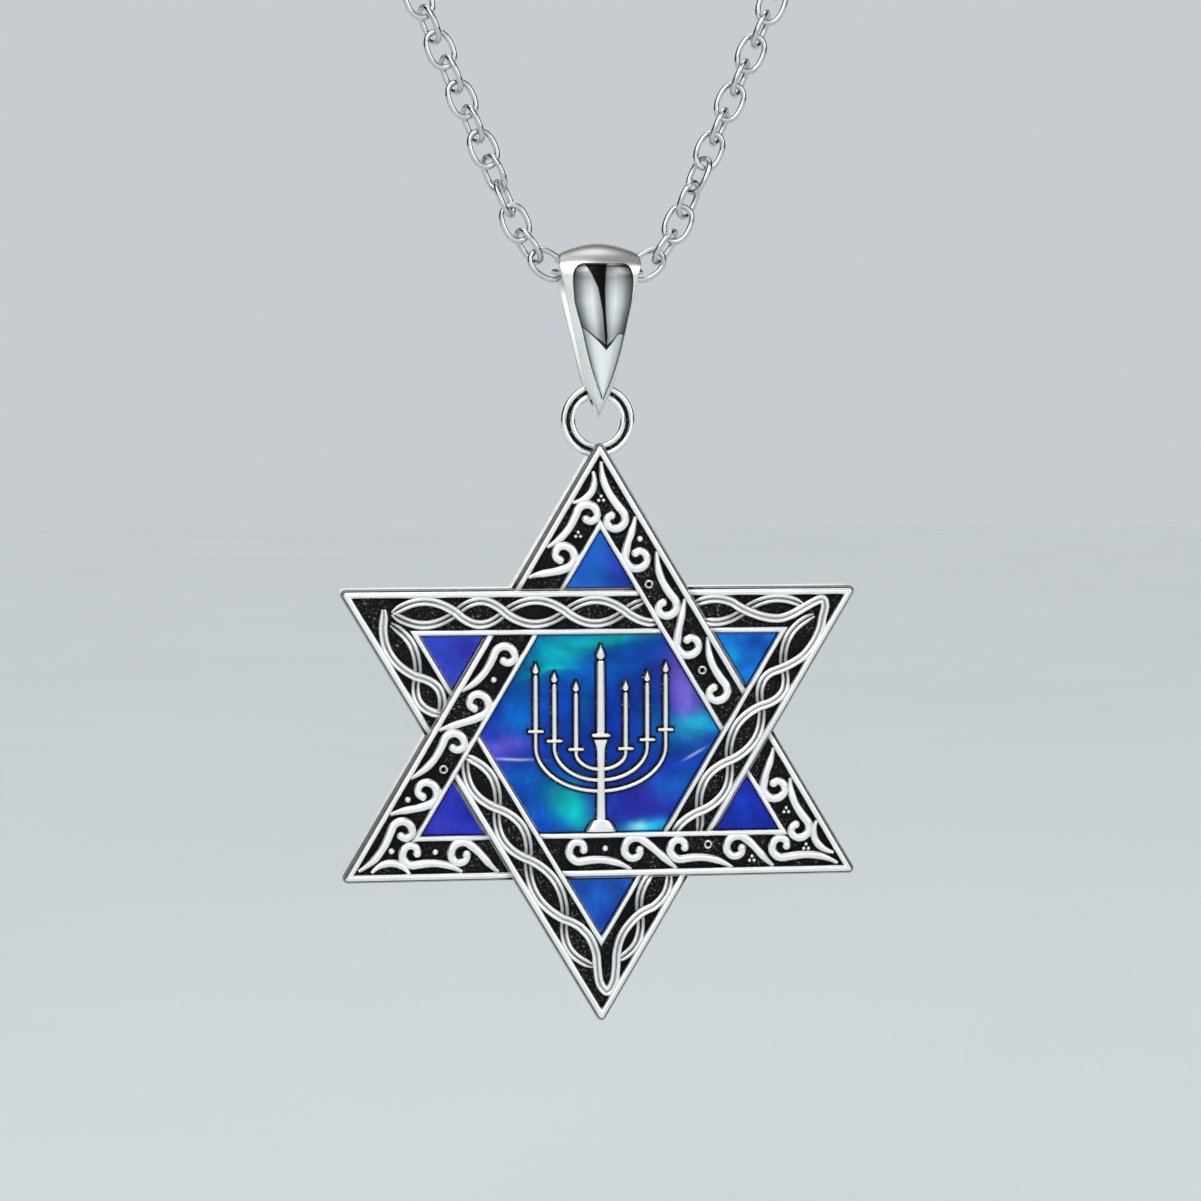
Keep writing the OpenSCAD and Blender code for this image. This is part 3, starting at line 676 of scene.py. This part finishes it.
# Across the bail's wall: place as a share of the half width, rise as a share of the wall
BAIL_INSIDE = [(-1, 0.28), (-0.985, 0.25), (-0.95, 0.22), (-0.72, 0.02), (-0.66, 0), (0, 0)]
BAIL_OUTSIDE = [
    (1, 0.36), (0.985, 0.4), (0.95, 0.44), (0.84, 0.55), (0.76, 0.63), (0.68, 0.7), (0.55, 0.8),
    (0.4, 0.89), (0.2, 0.97), (0, 1)]
BAIL_SECTION = mirrored(BAIL_INSIDE) + mirrored(BAIL_OUTSIDE)
BAIL_TURNS = [t for low, high, count in ((0, 1, 22), (1, 2, 26), (2, 4, 34), (4, 5, 26), (5, 6, 22))
              for t in steps(low, high, count)[:-1]]


def bail_half(z):
    return BAIL_W / 2 * table(BAIL_OUTLINE, (z + BAIL_LOW) / (BAIL_LOW + BAIL_TOP_R))


def bail(shell):
    rings = []
    for turn in BAIL_TURNS:
        inner = loop_station(BORE_R, FOOT_BORE_R, BAIL_DROP, turn)
        outer = loop_station(BAIL_TOP_R, BAIL_FOOT_R, BAIL_FOOT_CENTRE, turn)
        half = bail_half(outer.y)
        rings.append([BAIL_POINT + Vector((u * half, *(inner + rise * (outer - inner))))
                      for u, rise in BAIL_SECTION])
    shell.loft(rings, closed=True)


def front_line(upper, lower, drop, z):
    """How far forward the loop's line lies at a height."""
    way = compass(90 + tangent(upper, lower, drop))
    high, low = upper * way, Vector((0, -drop)) + lower * way
    if z > high.y:
        return -math.sqrt(upper ** 2 - z ** 2)
    return mix(high.x, low.x, (z - high.y) / (low.y - high.y))


def bail_front(x, z):
    """How far forward the bail's front lies."""
    inner = front_line(BORE_R, FOOT_BORE_R, BAIL_DROP, z)
    outer = front_line(BAIL_TOP_R, BAIL_FOOT_R, BAIL_FOOT_CENTRE, z)
    rise = table(BAIL_OUTSIDE, min(1, abs(x) / bail_half(z)))
    return mix(inner, outer, rise)


# Across the window: place from edge to edge, and how far it stands out from the bail
WINDOW_SECTION = [
    (0, -0.06), (0.004, 0.012), (0.018, 0.03), (0.05, 0.043), (0.1, 0.058), (0.16, 0.073), (0.24, 0.09),
    (0.32, 0.1), (0.41, 0.108), (0.5, 0.11)]
WINDOW_SECTION += [(1 - u, out) for u, out in reversed(WINDOW_SECTION[:-1])]
RIM_SECTION = [(0, -0.06), (0.02, 0.008), (0.98, 0.008), (1, -0.06)]


def window(shell, section, wider=0):
    """The polished window, or the fine dark line round it where wider is given."""
    high, low = WINDOW[0][0] + wider, WINDOW[-1][0] - wider
    rings = []
    for t in steps(0, 1, 60):
        z = mix(high, low, t ** 1.25)
        fade = max(0, min(1, (high - z) / FADE_TOP, (z - low) / FADE_LOW)) ** 0.5
        left, right = table(WINDOW, z, 1) - wider, table(WINDOW, z, 2) + wider
        ring_points = []
        for u, out in section + [(u, None) for u, _ in reversed(section[1:-1])]:
            x = mix(left, right, u)
            lift = -WINDOW_SUNK if out is None else min(out, out * fade)
            ring_points.append(BAIL_POINT + Vector((x, bail_front(x, z) - lift, z)))
        rings.append(ring_points)
    shell.loft(rings)


# The chain

def link(shell, middle, ahead, across, count=28, sides=12):
    """One oval link: ahead is its long way and across its wide way."""
    half_len, half_w = (LINK_LEN - WIRE_D) / 2, (LINK_W - WIRE_D) / 2
    out = ahead.cross(across)
    line = []
    for i in range(count):
        c = compass(360 * (i + 0.5) / count)
        u, v = (math.copysign(abs(w) ** (2 / LINK_SQUARENESS), w) for w in c)
        line.append(middle + half_len * u * ahead + half_w * v * across)
    rings = []
    for i, place in enumerate(line):
        along = (line[(i + 1) % count] - line[i - 1]).normalized()
        spoke = along.cross(out)
        rings.append([place + WIRE_D / 2 * (e.x * spoke + e.y * out) for e in spokes(sides)])
    shell.loft(rings, closed=True)


def link_slope(i):
    return LINK_SLOPES[i] if i < len(LINK_SLOPES) else 90 - STRAND_SLOPE


def link_joint(i):
    place = Vector((PITCH / 2, 0))
    for k in range(1, i + 1):
        place += PITCH * compass(link_slope(k))
    return place


def link_centre(i):
    return link_joint(i) - PITCH / 2 * compass(link_slope(i))


def facing(p, side=1):
    """A place or way in the chain's front plane, on either side of the bail."""
    return Vector((side * p.x, 0, p.y))


def turned(ahead, across, degrees):
    return Quaternion(ahead, math.radians(degrees)) @ across


def chain_front(shell):
    for i in range(-LINKS, LINKS + 1):
        side = -1 if i < 0 else 1
        ahead = facing(compass(link_slope(abs(i))), side)
        across = turned(ahead, ahead.cross(Y), TURNS[side][abs(i)])
        link(shell, BAIL_POINT + facing(link_centre(abs(i)), side), ahead, across)


def back_route():
    """Closely spaced places along the chain's +X side from the last front joint to the clasp."""
    start, along = BAIL_POINT + facing(link_joint(LINKS)), facing(compass(90 - STRAND_SLOPE))
    end = NAPE + Vector((CLASP_LEN / 2 + EYE_D - EYE_WIRE / 2 + EYE_GAP + PITCH / 2, 0, 0))
    return [bezier(start, start + STRAND_RUN * along, SIDE_POINT, end, t) for t in steps(0, 1, 600)]


def evenly(line, count):
    """Places at equal distances along a line, ends included."""
    along = arc_lengths(line)
    out, k = [], 0
    for goal in steps(0, along[-1], count + 1):
        while k < len(line) - 2 and along[k + 1] < goal:
            k += 1
        out.append(line[k].lerp(line[k + 1], (goal - along[k]) / (along[k + 1] - along[k])))
    return out


def chain_back(shell):
    line = back_route()
    count = round(arc_lengths(line)[-1] / PITCH)
    count += (count + LINKS + 1) % 2
    joints = evenly(line, count)
    ahead = (joints[1] - joints[0]).normalized()
    across = ahead.cross(Y)
    frames = []
    for a, b in zip(joints, joints[1:]):
        onward = (b - a).normalized()
        across = (ahead.rotation_difference(onward) @ across).normalized()
        ahead = onward
        frames.append(((a + b) / 2, ahead.copy(), across.copy()))
    # The last link stands upright through the clasp's eye, so the others share out the turn to it
    last_ahead, last_across = frames[-1][1], frames[-1][2]
    miss = math.degrees(math.atan2(last_across.cross(Z).dot(last_ahead), last_across.dot(Z)))
    miss -= 180 * round(miss / 180)
    for n, (middle, onward, wide) in enumerate(frames):
        turn = miss * (n + 1) / count + (90 if n % 2 == 0 else 0)
        wide = turned(onward, wide, turn)
        for side in (1, -1):
            flip = Vector((side, 1, 1))
            link(shell, middle * flip, onward * flip, wide * flip, count=20, sides=8)


# Along the clasp's barrel: place as a share of its half length, and radius as a share of its own
BARREL = mirrored([(-1, 0), (-1, 0.5), (-0.985, 0.62), (-0.95, 0.72), (-0.9, 0.78), (-0.84, 0.8),
                   (-0.83, 0.72), (-0.8, 0.72), (-0.79, 0.86), (-0.72, 0.93), (-0.6, 0.98), (-0.3, 1),
                   (-0.06, 1), (-0.05, 0.93), (-0.02, 0.93), (-0.01, 1)])


def clasp(shell, sides=40):
    rings = []
    for share, radius in BARREL:
        radius = max(radius, 0.02) * CLASP_D / 2
        rings.append([NAPE + Vector((share * CLASP_LEN / 2, *(radius * c))) for c in spokes(sides)])
    shell.loft(rings)
    major = (EYE_D - EYE_WIRE) / 2
    for side in (-1, 1):
        eye = NAPE + Vector((side * (CLASP_LEN / 2 + major), 0, 0))
        torus(shell, eye, X, Y, major, EYE_WIRE / 2, 48, 14)


def build(name, body, slot, materials, *fillers, sharp=50):
    """A piece from the functions that fill its shell, each with its arguments."""
    shell = Shell()
    for fill, *arguments in fillers:
        fill(shell, *arguments)
    return shell.piece(name, body, materials, sharp)


# Materials

class Output:
    """A node's output. Arithmetic with outputs and numbers adds Math nodes."""

    def __init__(self, graph, socket):
        self.graph, self.socket = graph, socket

    def __add__(self, other):
        return self.graph.maths("ADD", self, other)

    def __sub__(self, other):
        return self.graph.maths("SUBTRACT", self, other)

    def __rsub__(self, other):
        return self.graph.maths("SUBTRACT", other, self)

    def __mul__(self, other):
        return self.graph.maths("MULTIPLY", self, other)

    def __truediv__(self, other):
        return self.graph.maths("DIVIDE", self, other)

    def between(self, low, high):
        """0 at low and 1 at high, straight between."""
        return self.graph.maths("DIVIDE", self - low, high - low, clamp=True)

    def ramp(self, stops):
        """A colour ramp of greys or colours."""
        n = self.graph.nodes.new("ShaderNodeValToRGB")
        elements = n.color_ramp.elements
        while len(elements) < len(stops):
            elements.new(0.5)
        for e, (place, value) in zip(elements, stops):
            e.position = place
            e.color = (*value, 1) if isinstance(value, tuple) else (value, value, value, 1)
        self.graph.feed(n.inputs["Fac"], self)
        return Output(self.graph, n.outputs["Color"])

    def curve(self, rows, column=1):
        """A table read by this output, both in millimetres."""
        rows = sorted(rows)
        low, high = rows[0][0], rows[-1][0]
        values = [row[column] for row in rows]
        least, span = min(values), max(values) - min(values)
        stops = [((row[0] - low) / (high - low), (row[column] - least) / span) for row in rows]
        return self.between(low, high).ramp(stops) * span + least


class Graph:
    """The nodes of a material or world."""

    def __init__(self, tree):
        self.nodes, self.links = tree.nodes, tree.links

    def feed(self, socket, value):
        """Links an output to a socket, or sets the socket: to a colour where value is a tuple."""
        if isinstance(value, Output):
            self.links.new(value.socket, socket)
        else:
            socket.default_value = (*value, 1) if isinstance(value, tuple) else value

    def add(self, kind, inputs, output=0, **settings):
        n = self.nodes.new("ShaderNode" + kind)
        for key, value in settings.items():
            setattr(n, key, value)
        for key, value in inputs.items():
            self.feed(n.inputs[key], value)
        return Output(self, n.outputs[output])

    def parts(self, source, kind="SeparateXYZ"):
        n = self.nodes.new("ShaderNode" + kind)
        self.feed(n.inputs[0], source)
        return [Output(self, out) for out in n.outputs]

    def maths(self, operation, *inputs, clamp=False):
        return self.add("Math", dict(enumerate(inputs)), operation=operation, use_clamp=clamp)

    def mixed(self, factor, a, b, blend="MIX"):
        """A and B of a Mix node are its sockets 6 and 7 for colours, and its colour comes out at 2."""
        return self.add("Mix", {0: factor, 6: a, 7: b}, 2, data_type="RGBA", blend_type=blend)


class Material(Graph):
    """A new material with procedural nodes. Its place is each point's own on the object, in metres."""

    def __init__(self, name):
        self.data = bpy.data.materials.new(name)
        self.data.use_nodes = True
        super().__init__(self.data.node_tree)
        self.place = self.add("TexCoord", {}, "Object")

    def noise(self, scale, detail, roughness=0.5, distortion=0, output="Fac", place=None):
        return self.add("TexNoise", {"Vector": place or self.place, "Scale": scale, "Detail": detail,
                                     "Roughness": roughness, "Distortion": distortion}, output)

    def plane(self, middle):
        """Across, and up from a point, in millimetres."""
        x, _, z = self.parts(self.place)
        return x * (1 / MM), z * (1 / MM) - middle.z

    def finish(self, colour, roughness, relief=None, metal=0, specular=0.5):
        """Feeds the shader. A relief is a height, the strength of its bump and its depth in millimetres."""
        inputs = {"Base Color": colour, "Roughness": roughness, "Metallic": metal,
                  "Specular IOR Level": specular}
        if relief:
            height, strength, depth = relief
            bump = {"Height": height, "Strength": strength, "Distance": depth * MM}
            inputs["Normal"] = self.add("Bump", bump, "Normal")
        for key, value in inputs.items():
            self.feed(self.nodes["Principled BSDF"].inputs[key], value)
        return self.data


def silver(name, light, roughness, crown=None):
    """Polished silver with faint clouding and fine scratches. A crown, from low to high, is greyer above:
    painted shade.
    """
    m = Material(name)
    cloud = m.noise(900, 4, 0.55)
    colour = cloud.ramp([(0.35, tuple(0.92 * v for v in light)), (0.6, light)])
    if crown:
        # Painted shade: the crown's top is painted grey.
        low, high, grey = crown
        colour = m.mixed(m.parts(m.place)[2].between(low * MM, high * MM), colour, grey)
    rough = cloud.ramp([(0.3, roughness * 1.25), (0.7, roughness * 0.85)])
    return m.finish(colour, rough, (m.noise(8100, 2), 0.12, 0.01), metal=1)


# Lower down the star's silver darkens: oxide patina near the channel floors, painted shade on the bars'
# sides.
# The star's silver: where it is black and where bright, the raggedness between, and where its front begins
BLACK_LEVEL, BRIGHT_LEVEL, RAGGED, FRONT_LEVEL = 0.6, 0.88, 0.06, 0.5
# How finely the star's back is brushed, along its three axes
BRUSHED = Vector((160, 160, 5200))


def cast_silver(name):
    """The star's silver: bright crowns, darker lower down as patina and painted shade, brushed behind."""
    m = Material(name)
    level = STAR_CENTRE.y * MM - m.parts(m.place)[1]
    ragged = (m.noise(5200, 3, 0.6) - 0.5) * (RAGGED * MM)
    high = (level + ragged).between(BLACK_LEVEL * MM, BRIGHT_LEVEL * MM)
    front = m.maths("GREATER_THAN", level, FRONT_LEVEL * MM)
    bright = m.noise(700, 4).ramp([(0.3, (0.86, 0.865, 0.87)), (0.62, (0.97, 0.97, 0.965))])
    # Painted shade: darker by height, patina near the floors and painted shade on sides of rails, scrolls
    # and strands
    shade = high.ramp([(0, 0.01), (0.3, 0.03), (0.62, 0.62), (0.85, 1)])
    brushed = m.noise(1, 3, 0.6, place=m.add("Mapping", {"Vector": m.place, "Scale": BRUSHED}))
    behind = brushed.ramp([(0.3, (0.62, 0.63, 0.64)), (0.7, (0.8, 0.805, 0.81))])
    colour = m.mixed(front, behind, m.mixed(1, bright, shade, "MULTIPLY"))
    rough_front = high.ramp([(0, 0.55), (0.6, 0.26)])
    rough_behind = brushed.ramp([(0.3, 0.34), (0.7, 0.2)])
    rough = rough_front * front + rough_behind * (1 - front)
    return m.finish(colour, rough, (m.noise(6500, 2), 0.18, 0.01), metal=0.92)


def blackened(name):
    """Oxidised channel floor: near black, with fine bright specks in patches."""
    m = Material(name)
    patch, grain = m.noise(420, 2), m.noise(9500, 4, 0.7)
    specks = patch.ramp([(0.38, 0), (0.56, 1)]) * grain.ramp([(0.56, 0), (0.7, 1)])
    colour = m.mixed(specks, (0.004, 0.004, 0.005), (0.36, 0.36, 0.37))
    return m.finish(colour, 0.6, (grain, 0.6, 0.03), specular=0.12)


# How far the clouds and the sharper streaks in the stone swerve, in millimetres
CLOUD_SWERVE, STREAK_SWERVE = 2.2, 0.3


def stone(name, base, clouds, streaks=()):
    """A glossy blue inlay. Each cloud is a place in the star's plane, its reach and slant, and a colour."""
    m = Material(name)
    flat = m.plane(STAR_CENTRE)
    warp = m.parts(m.noise(260, 3, 0.55, output="Color"), "SeparateColor")
    colour = base
    for rows, swerve in ((clouds, CLOUD_SWERVE), (streaks, STREAK_SWERVE)):
        x, z = (value + (w - 0.5) * swerve for value, w in zip(flat, warp))
        for cx, cz, reach, thick, slant, strength, shade in rows:
            c = compass(slant)
            dx, dz = x - cx, z - cz
            u = (dx * c.x + dz * c.y) / reach
            v = (dz * c.x - dx * c.y) / thick
            fade = m.maths("EXPONENT", (u * u + v * v) * -1)
            colour = m.mixed(m.maths("MULTIPLY", fade, strength, clamp=True), colour, shade)
    wisps = m.noise(420, 6, 0.6, 1.2).ramp([(0.3, 0.6), (0.5, 0.95), (0.72, 1.5)])
    colour = m.mixed(1, colour, wisps, "MULTIPLY")
    return m.finish(colour, 0.12, specular=0.12)


# The window's painted reflections: two highlights across it and their strength by height, the ground's
# reflected tone across it, and how thick the dark line above the ground is
HIGHLIGHTS = [
    (0, 0.05), (0.03, 0.16), (0.1, 0.36), (0.2, 0.8), (0.3, 1), (0.42, 0.5), (0.52, 0.34), (0.62, 0.8),
    (0.7, 1), (0.8, 0.72), (0.9, 0.3), (0.97, 0.14), (1, 0.05)]
HIGHLIGHT_FALL = [
    (-3.1, 0.5), (-2.5, 0.55), (-1.9, 0.85), (-1.1, 1.02), (-0.5, 0.8), (0, 0.48), (0.3, 0.3), (0.5, 0.2)]
GROUND_REFLECTION = [(0, 0.15), (0.06, 0.5), (0.2, 0.85), (0.4, 1), (0.65, 0.97), (0.92, 0.68), (1, 0.15)]
HORIZON_LINE = [(-0.8, 0.02), (-0.2, 0.05), (0.24, 0.11), (0.6, 0.04), (1, 0.02)]


def window_silver(name):
    """Mirror polish of the bail's window, with painted reflections: two soft highlights, the dark wedge and
    the light ground.
    """
    m = Material(name)
    x, z = m.plane(BAIL_POINT)
    # Painted reflections: highlights, dark wedge, light ground and its dark edge line, all in the base
    # colour
    left, right = (z.curve(WINDOW, column) for column in (1, 2))
    across = (x - left) / (right - left)
    upper = across.ramp(HIGHLIGHTS) * z.curve(HIGHLIGHT_FALL)
    wedge_left, wedge_right = (z.curve(WEDGE_REFLECTION, column) for column in (1, 2))
    wedge = (x - wedge_left).between(-0.02, 0.03) * (wedge_right - x).between(-0.02, 0.02)
    upper = upper * (1 - wedge * 0.985)
    horizon = x.curve(HORIZON)
    below = (horizon - z).between(-0.015, 0.015)
    painted_reflection = upper * (1 - below) + across.ramp(GROUND_REFLECTION) * below
    off = m.maths("ABSOLUTE", z - horizon - 0.02)
    edge = (x.curve(HORIZON_LINE) - off).between(-0.015, 0.02)
    painted_reflection = painted_reflection * (1 - edge * 0.93)
    colour = painted_reflection.ramp([(0, (0.004, 0.004, 0.005)), (1, (0.96, 0.965, 0.97))])
    return m.finish(colour, 0.22, (m.noise(4000, 2), 0.05, 0.005), metal=1)


def tint(red, green, blue):
    """A colour given as on a screen, 0 to 255, as light."""
    return tuple(v / 255 / 12.92 if v <= 10 else ((v / 255 + 0.055) / 1.055) ** 2.4
                 for v in (red, green, blue))


ROYAL, NAVY, VIOLET = tint(4, 62, 172), tint(4, 28, 136), tint(62, 66, 205)
LILAC, PURPLE, AZURE = tint(122, 104, 216), tint(46, 30, 165), tint(0, 112, 205)
TEAL, GREEN, CYAN = tint(0, 185, 198), tint(8, 165, 155), tint(25, 195, 240)
AQUA, DEEP_TEAL, PALE = tint(0, 215, 215), tint(0, 100, 150), tint(205, 222, 255)
GLINT = tint(150, 235, 250)

# Clouds: place in the star's plane, reach along and across, slant, strength and colour
CENTRE_CLOUDS = [
    (3.3, 2.2, 2.6, 1.6, -35, 0.75, NAVY), (0.4, -0.2, 1.5, 2, 0, 0.55, NAVY),
    (-4.2, 1.6, 1.3, 1, 40, 0.6, NAVY), (1.9, -2.8, 2.4, 1, 5, 0.75, PURPLE),
    (-3.4, -1.9, 1.6, 0.5, -5, 0.5, AZURE), (-3, 3.3, 1.3, 1, 40, 0.75, DEEP_TEAL),
    (0.2, 3.9, 2, 0.4, 3, 0.85, GREEN), (-1.6, 3.5, 0.95, 0.75, 40, 0.95, TEAL),
    (-1.9, 2.85, 0.9, 0.18, 5, 0.8, TEAL), (0.3, 2.6, 2, 0.7, 10, 0.5, AZURE),
    (-3.4, 1.1, 0.95, 0.75, 60, 0.75, AZURE), (-0.65, 1.2, 0.35, 0.7, 0, 0.6, DEEP_TEAL),
    (-4.4, -0.4, 1.3, 0.75, -10, 0.85, VIOLET), (-4, -0.25, 0.7, 0.45, 0, 0.45, LILAC),
    (3.75, 1.6, 0.75, 1.3, 20, 0.9, LILAC), (4.2, 0.2, 1.3, 0.55, 12, 0.95, CYAN),
    (2.4, 0.7, 0.7, 0.6, 0, 0.5, AZURE), (-1.7, -2.5, 1, 0.6, 0, 0.6, DEEP_TEAL),
    (-1, -3.1, 0.62, 0.8, 25, 0.95, AQUA), (-1.4, -2.75, 0.5, 0.35, 0, 0.6, GREEN),
    (-2.8, -3.6, 1.2, 0.6, 0, 0.5, AZURE), (2, -3.9, 0.9, 0.3, 0, 0.95, CYAN),
    (1.7, -3.7, 0.35, 0.18, 0, 0.8, GLINT), (3.1, -2.2, 0.9, 0.5, 20, 0.6, AZURE)]
CENTRE_STREAKS = [
    (-3.7, -1.05, 0.85, 0.055, -4, 0.75, PALE), (4.05, -0.95, 0.45, 0.05, 28, 0.7, PALE),
    (-2.1, 2.82, 0.6, 0.06, 4, 0.55, AQUA), (-2.9, -2, 0.4, 0.04, 15, 0.4, AZURE)]
SMALL_STONES = [
    ("inlay_top", tint(30, 106, 212),
     [(0.9, 6.7, 0.9, 0.9, 0, 0.8, NAVY), (0.5, 7.2, 0.3, 0.7, 30, 0.5, VIOLET)]),
    ("inlay_upper_left", tint(62, 82, 220),
     [(-5.4, 3.8, 0.8, 0.6, 0, 0.7, PURPLE), (-6.9, 3.9, 0.6, 0.5, 0, 0.5, ROYAL)]),
    ("inlay_upper_right", tint(14, 108, 204),
     [(5.4, 3.2, 0.5, 0.6, 20, 0.6, CYAN), (6.9, 3.8, 0.7, 0.5, 0, 0.6, NAVY)]),
    ("inlay_lower_left", tint(38, 48, 172),
     [(-6.8, -4, 0.7, 0.5, 0, 0.6, VIOLET), (-5.6, -3.4, 0.5, 0.5, 0, 0.5, NAVY)]),
    ("inlay_lower_right", tint(24, 46, 176),
     [(6.8, -3.9, 0.8, 0.5, 0, 0.5, NAVY), (5.7, -3.6, 0.6, 0.6, 30, 0.5, ROYAL)]),
    ("inlay_bottom", tint(26, 84, 184),
     [(0.5, -8, 0.6, 0.5, 0, 0.6, NAVY), (-0.7, -6.9, 0.8, 0.4, 0, 0.5, AZURE)])]

star_silver = cast_silver("star_silver_cast")
star_black = blackened("star_channel_floor")
ring_silver = silver("star_ring_silver", (0.88, 0.885, 0.89), 0.12)
ring_groove = blackened("star_ring_groove")
menorah_silver = silver("menorah_silver_polished", (0.97, 0.955, 0.925), 0.2)
menorah_black = blackened("menorah_backing")
chain_silver = silver("chain_silver_wire", (0.62, 0.625, 0.64), 0.11)
# The bail's crown gets painted shade: its top is painted grey.
bail_silver = silver("bail_silver_satin_crown_shade", (0.84, 0.84, 0.825), 0.25,
                     crown=(BAIL_POINT.z + 0.55, BAIL_POINT.z + 0.8, (0.36, 0.36, 0.35)))
# The window's colour holds painted reflections.
bail_window = window_silver("bail_window_painted_reflections")
bail_groove = blackened("bail_window_line")

# The star
star = build("star_casting", "star", "star_silver", [star_silver, star_black],
             (plate,), (rails, OUTER_RAIL), (rails, INNER_RAIL), sharp=42)
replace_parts(star, "star_frame")
build("star_scrolls", "star", "star_silver", [star_silver], (scrolls,), sharp=60)
build("star_strands", "star", "star_silver", [star_silver], (strands,), sharp=60)
build("star_ring", "star", "star_silver", [ring_silver, ring_groove], (ring,))

# The menorah and the inlays
menorah = build("menorah_figure", "star", "menorah_silver", [menorah_silver, menorah_black],
                (menorah_part, False), (menorah_part, True), sharp=60)
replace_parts(menorah, "menorah")
for name, *looks in [("inlay_centre", ROYAL, CENTRE_CLOUDS, CENTRE_STREAKS)] + SMALL_STONES:
    bpy.data.objects[name].material_slots[0].material = stone(name + "_stone", *looks)

# The bail
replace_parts(build("bail_loop", "bail", "bail_silver", [bail_silver], (bail,), sharp=55), "bail")
build("bail_window_line", "bail", "bail_silver", [bail_groove], (window, RIM_SECTION, WINDOW_LINE_W))
build("bail_window", "bail", "bail_silver", [bail_window], (window, WINDOW_SECTION), sharp=60)

# The chain
on_chain = ("chain", "chain_silver", [chain_silver])
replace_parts(build("chain_links_front", *on_chain, (chain_front,)), "chain_front")
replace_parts(build("chain_links_back", *on_chain, (chain_back,)), "chain_back")
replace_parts(build("clasp_barrel", *on_chain, (clasp,)), "clasp")

# Stage, lights and camera
CAMERA_AZIMUTH, CAMERA_ELEVATION, CAMERA_ROLL, CAMERA_LENS = -6.85, 3.2, 0.18, 84
CAMERA_ACROSS, CAMERA_RISE, CAMERA_AWAY = 0.1, 5.66, 120.4
STUDIO_LIGHT, ABOVE_LIGHT = 1.2, 2.2
PALE_GROUND = tint(198, 204, 207)
FLOOR_Z, FLOOR_RADII, FLOOR_TONE = -178, (150, 500, 1600), (0.83, 0.905, 0.935)
LIGHT_SIZE = 0.3
settings = bpy.context.scene
settings.view_settings.view_transform = "Standard"


def aim(obj, way, roll=0):
    obj.rotation_mode = "QUATERNION"
    obj.rotation_quaternion = Quaternion(way, math.radians(roll)) @ way.to_track_quat("-Z", "Y")


def area_light(name, offset, power):
    """A round light aimed at the star, in metres from its middle."""
    data = bpy.data.lights.new(name, "AREA")
    data.shape = "DISK"
    data.size = LIGHT_SIZE
    data.energy = power
    obj = new_object(name, data)
    obj.location = STAR_CENTRE * MM + Vector(offset)
    aim(obj, -Vector(offset))


def world():
    """Plain pale to the camera; to polished metal, bright ahead, behind and above, and dark at the sides."""
    w = bpy.data.worlds.new("studio")
    settings.world = w
    w.use_nodes = True
    g = Graph(w.node_tree)
    way = g.parts(g.add("TexCoord", {}, "Generated"))
    depth = g.maths("ABSOLUTE", way[1])
    ahead = depth.ramp([(0, 0.01), (0.4, 0.03), (0.62, 0.22), (0.82, 0.8), (0.95, 1)])
    above = way[2].ramp([(0.5, 0), (0.85, 0.12), (0.94, 0.4), (1, 1)]) * ABOVE_LIGHT
    studio = g.maths("MAXIMUM", ahead, above) * STUDIO_LIGHT
    seen = g.mixed(g.add("LightPath", {}, "Is Camera Ray"), studio, PALE_GROUND)
    g.feed(g.nodes["Background"].inputs["Color"], seen)


def floor(sides=96):
    """A wide round plain floor below the pendant."""
    shell = Shell()
    shell.points.append(Vector((0, 0, FLOOR_Z)))
    for radius in FLOOR_RADII:
        shell.points.extend(Vector((*(radius * c), FLOOR_Z)) for c in spokes(sides))
    for j in range(sides):
        k = (j + 1) % sides
        shell.face((0, 1 + j, 1 + k))
        for a in (1, 1 + sides):
            b = a + sides
            shell.face((a + j, b + j, b + k, a + k))
    m = Material("floor_plain")
    colour = m.noise(14, 3).ramp([(0.3, FLOOR_TONE), (0.7, tuple(v * 1.03 for v in FLOOR_TONE))])
    new_object("floor", shell.mesh("floor", [m.finish(colour, 0.7)]))


def camera():
    data = bpy.data.cameras.new("camera")
    data.sensor_width = 36
    data.lens = CAMERA_LENS
    data.clip_start, data.clip_end = 0.001, 10
    obj = new_object("camera", data)
    level, side = compass(CAMERA_ELEVATION), compass(CAMERA_AZIMUTH)
    look = Vector((-level.x * side.y, level.x * side.x, -level.y))
    target = STAR_CENTRE + Vector((CAMERA_ACROSS, 0, CAMERA_RISE))
    obj.location = (target - CAMERA_AWAY * look) * MM
    aim(obj, look, CAMERA_ROLL)
    settings.camera = obj


world()
floor()
camera()
area_light("key", (-0.16, -0.32, 0.26), 0.55)
area_light("fill", (0.36, -0.34, 0.2), 0.36)
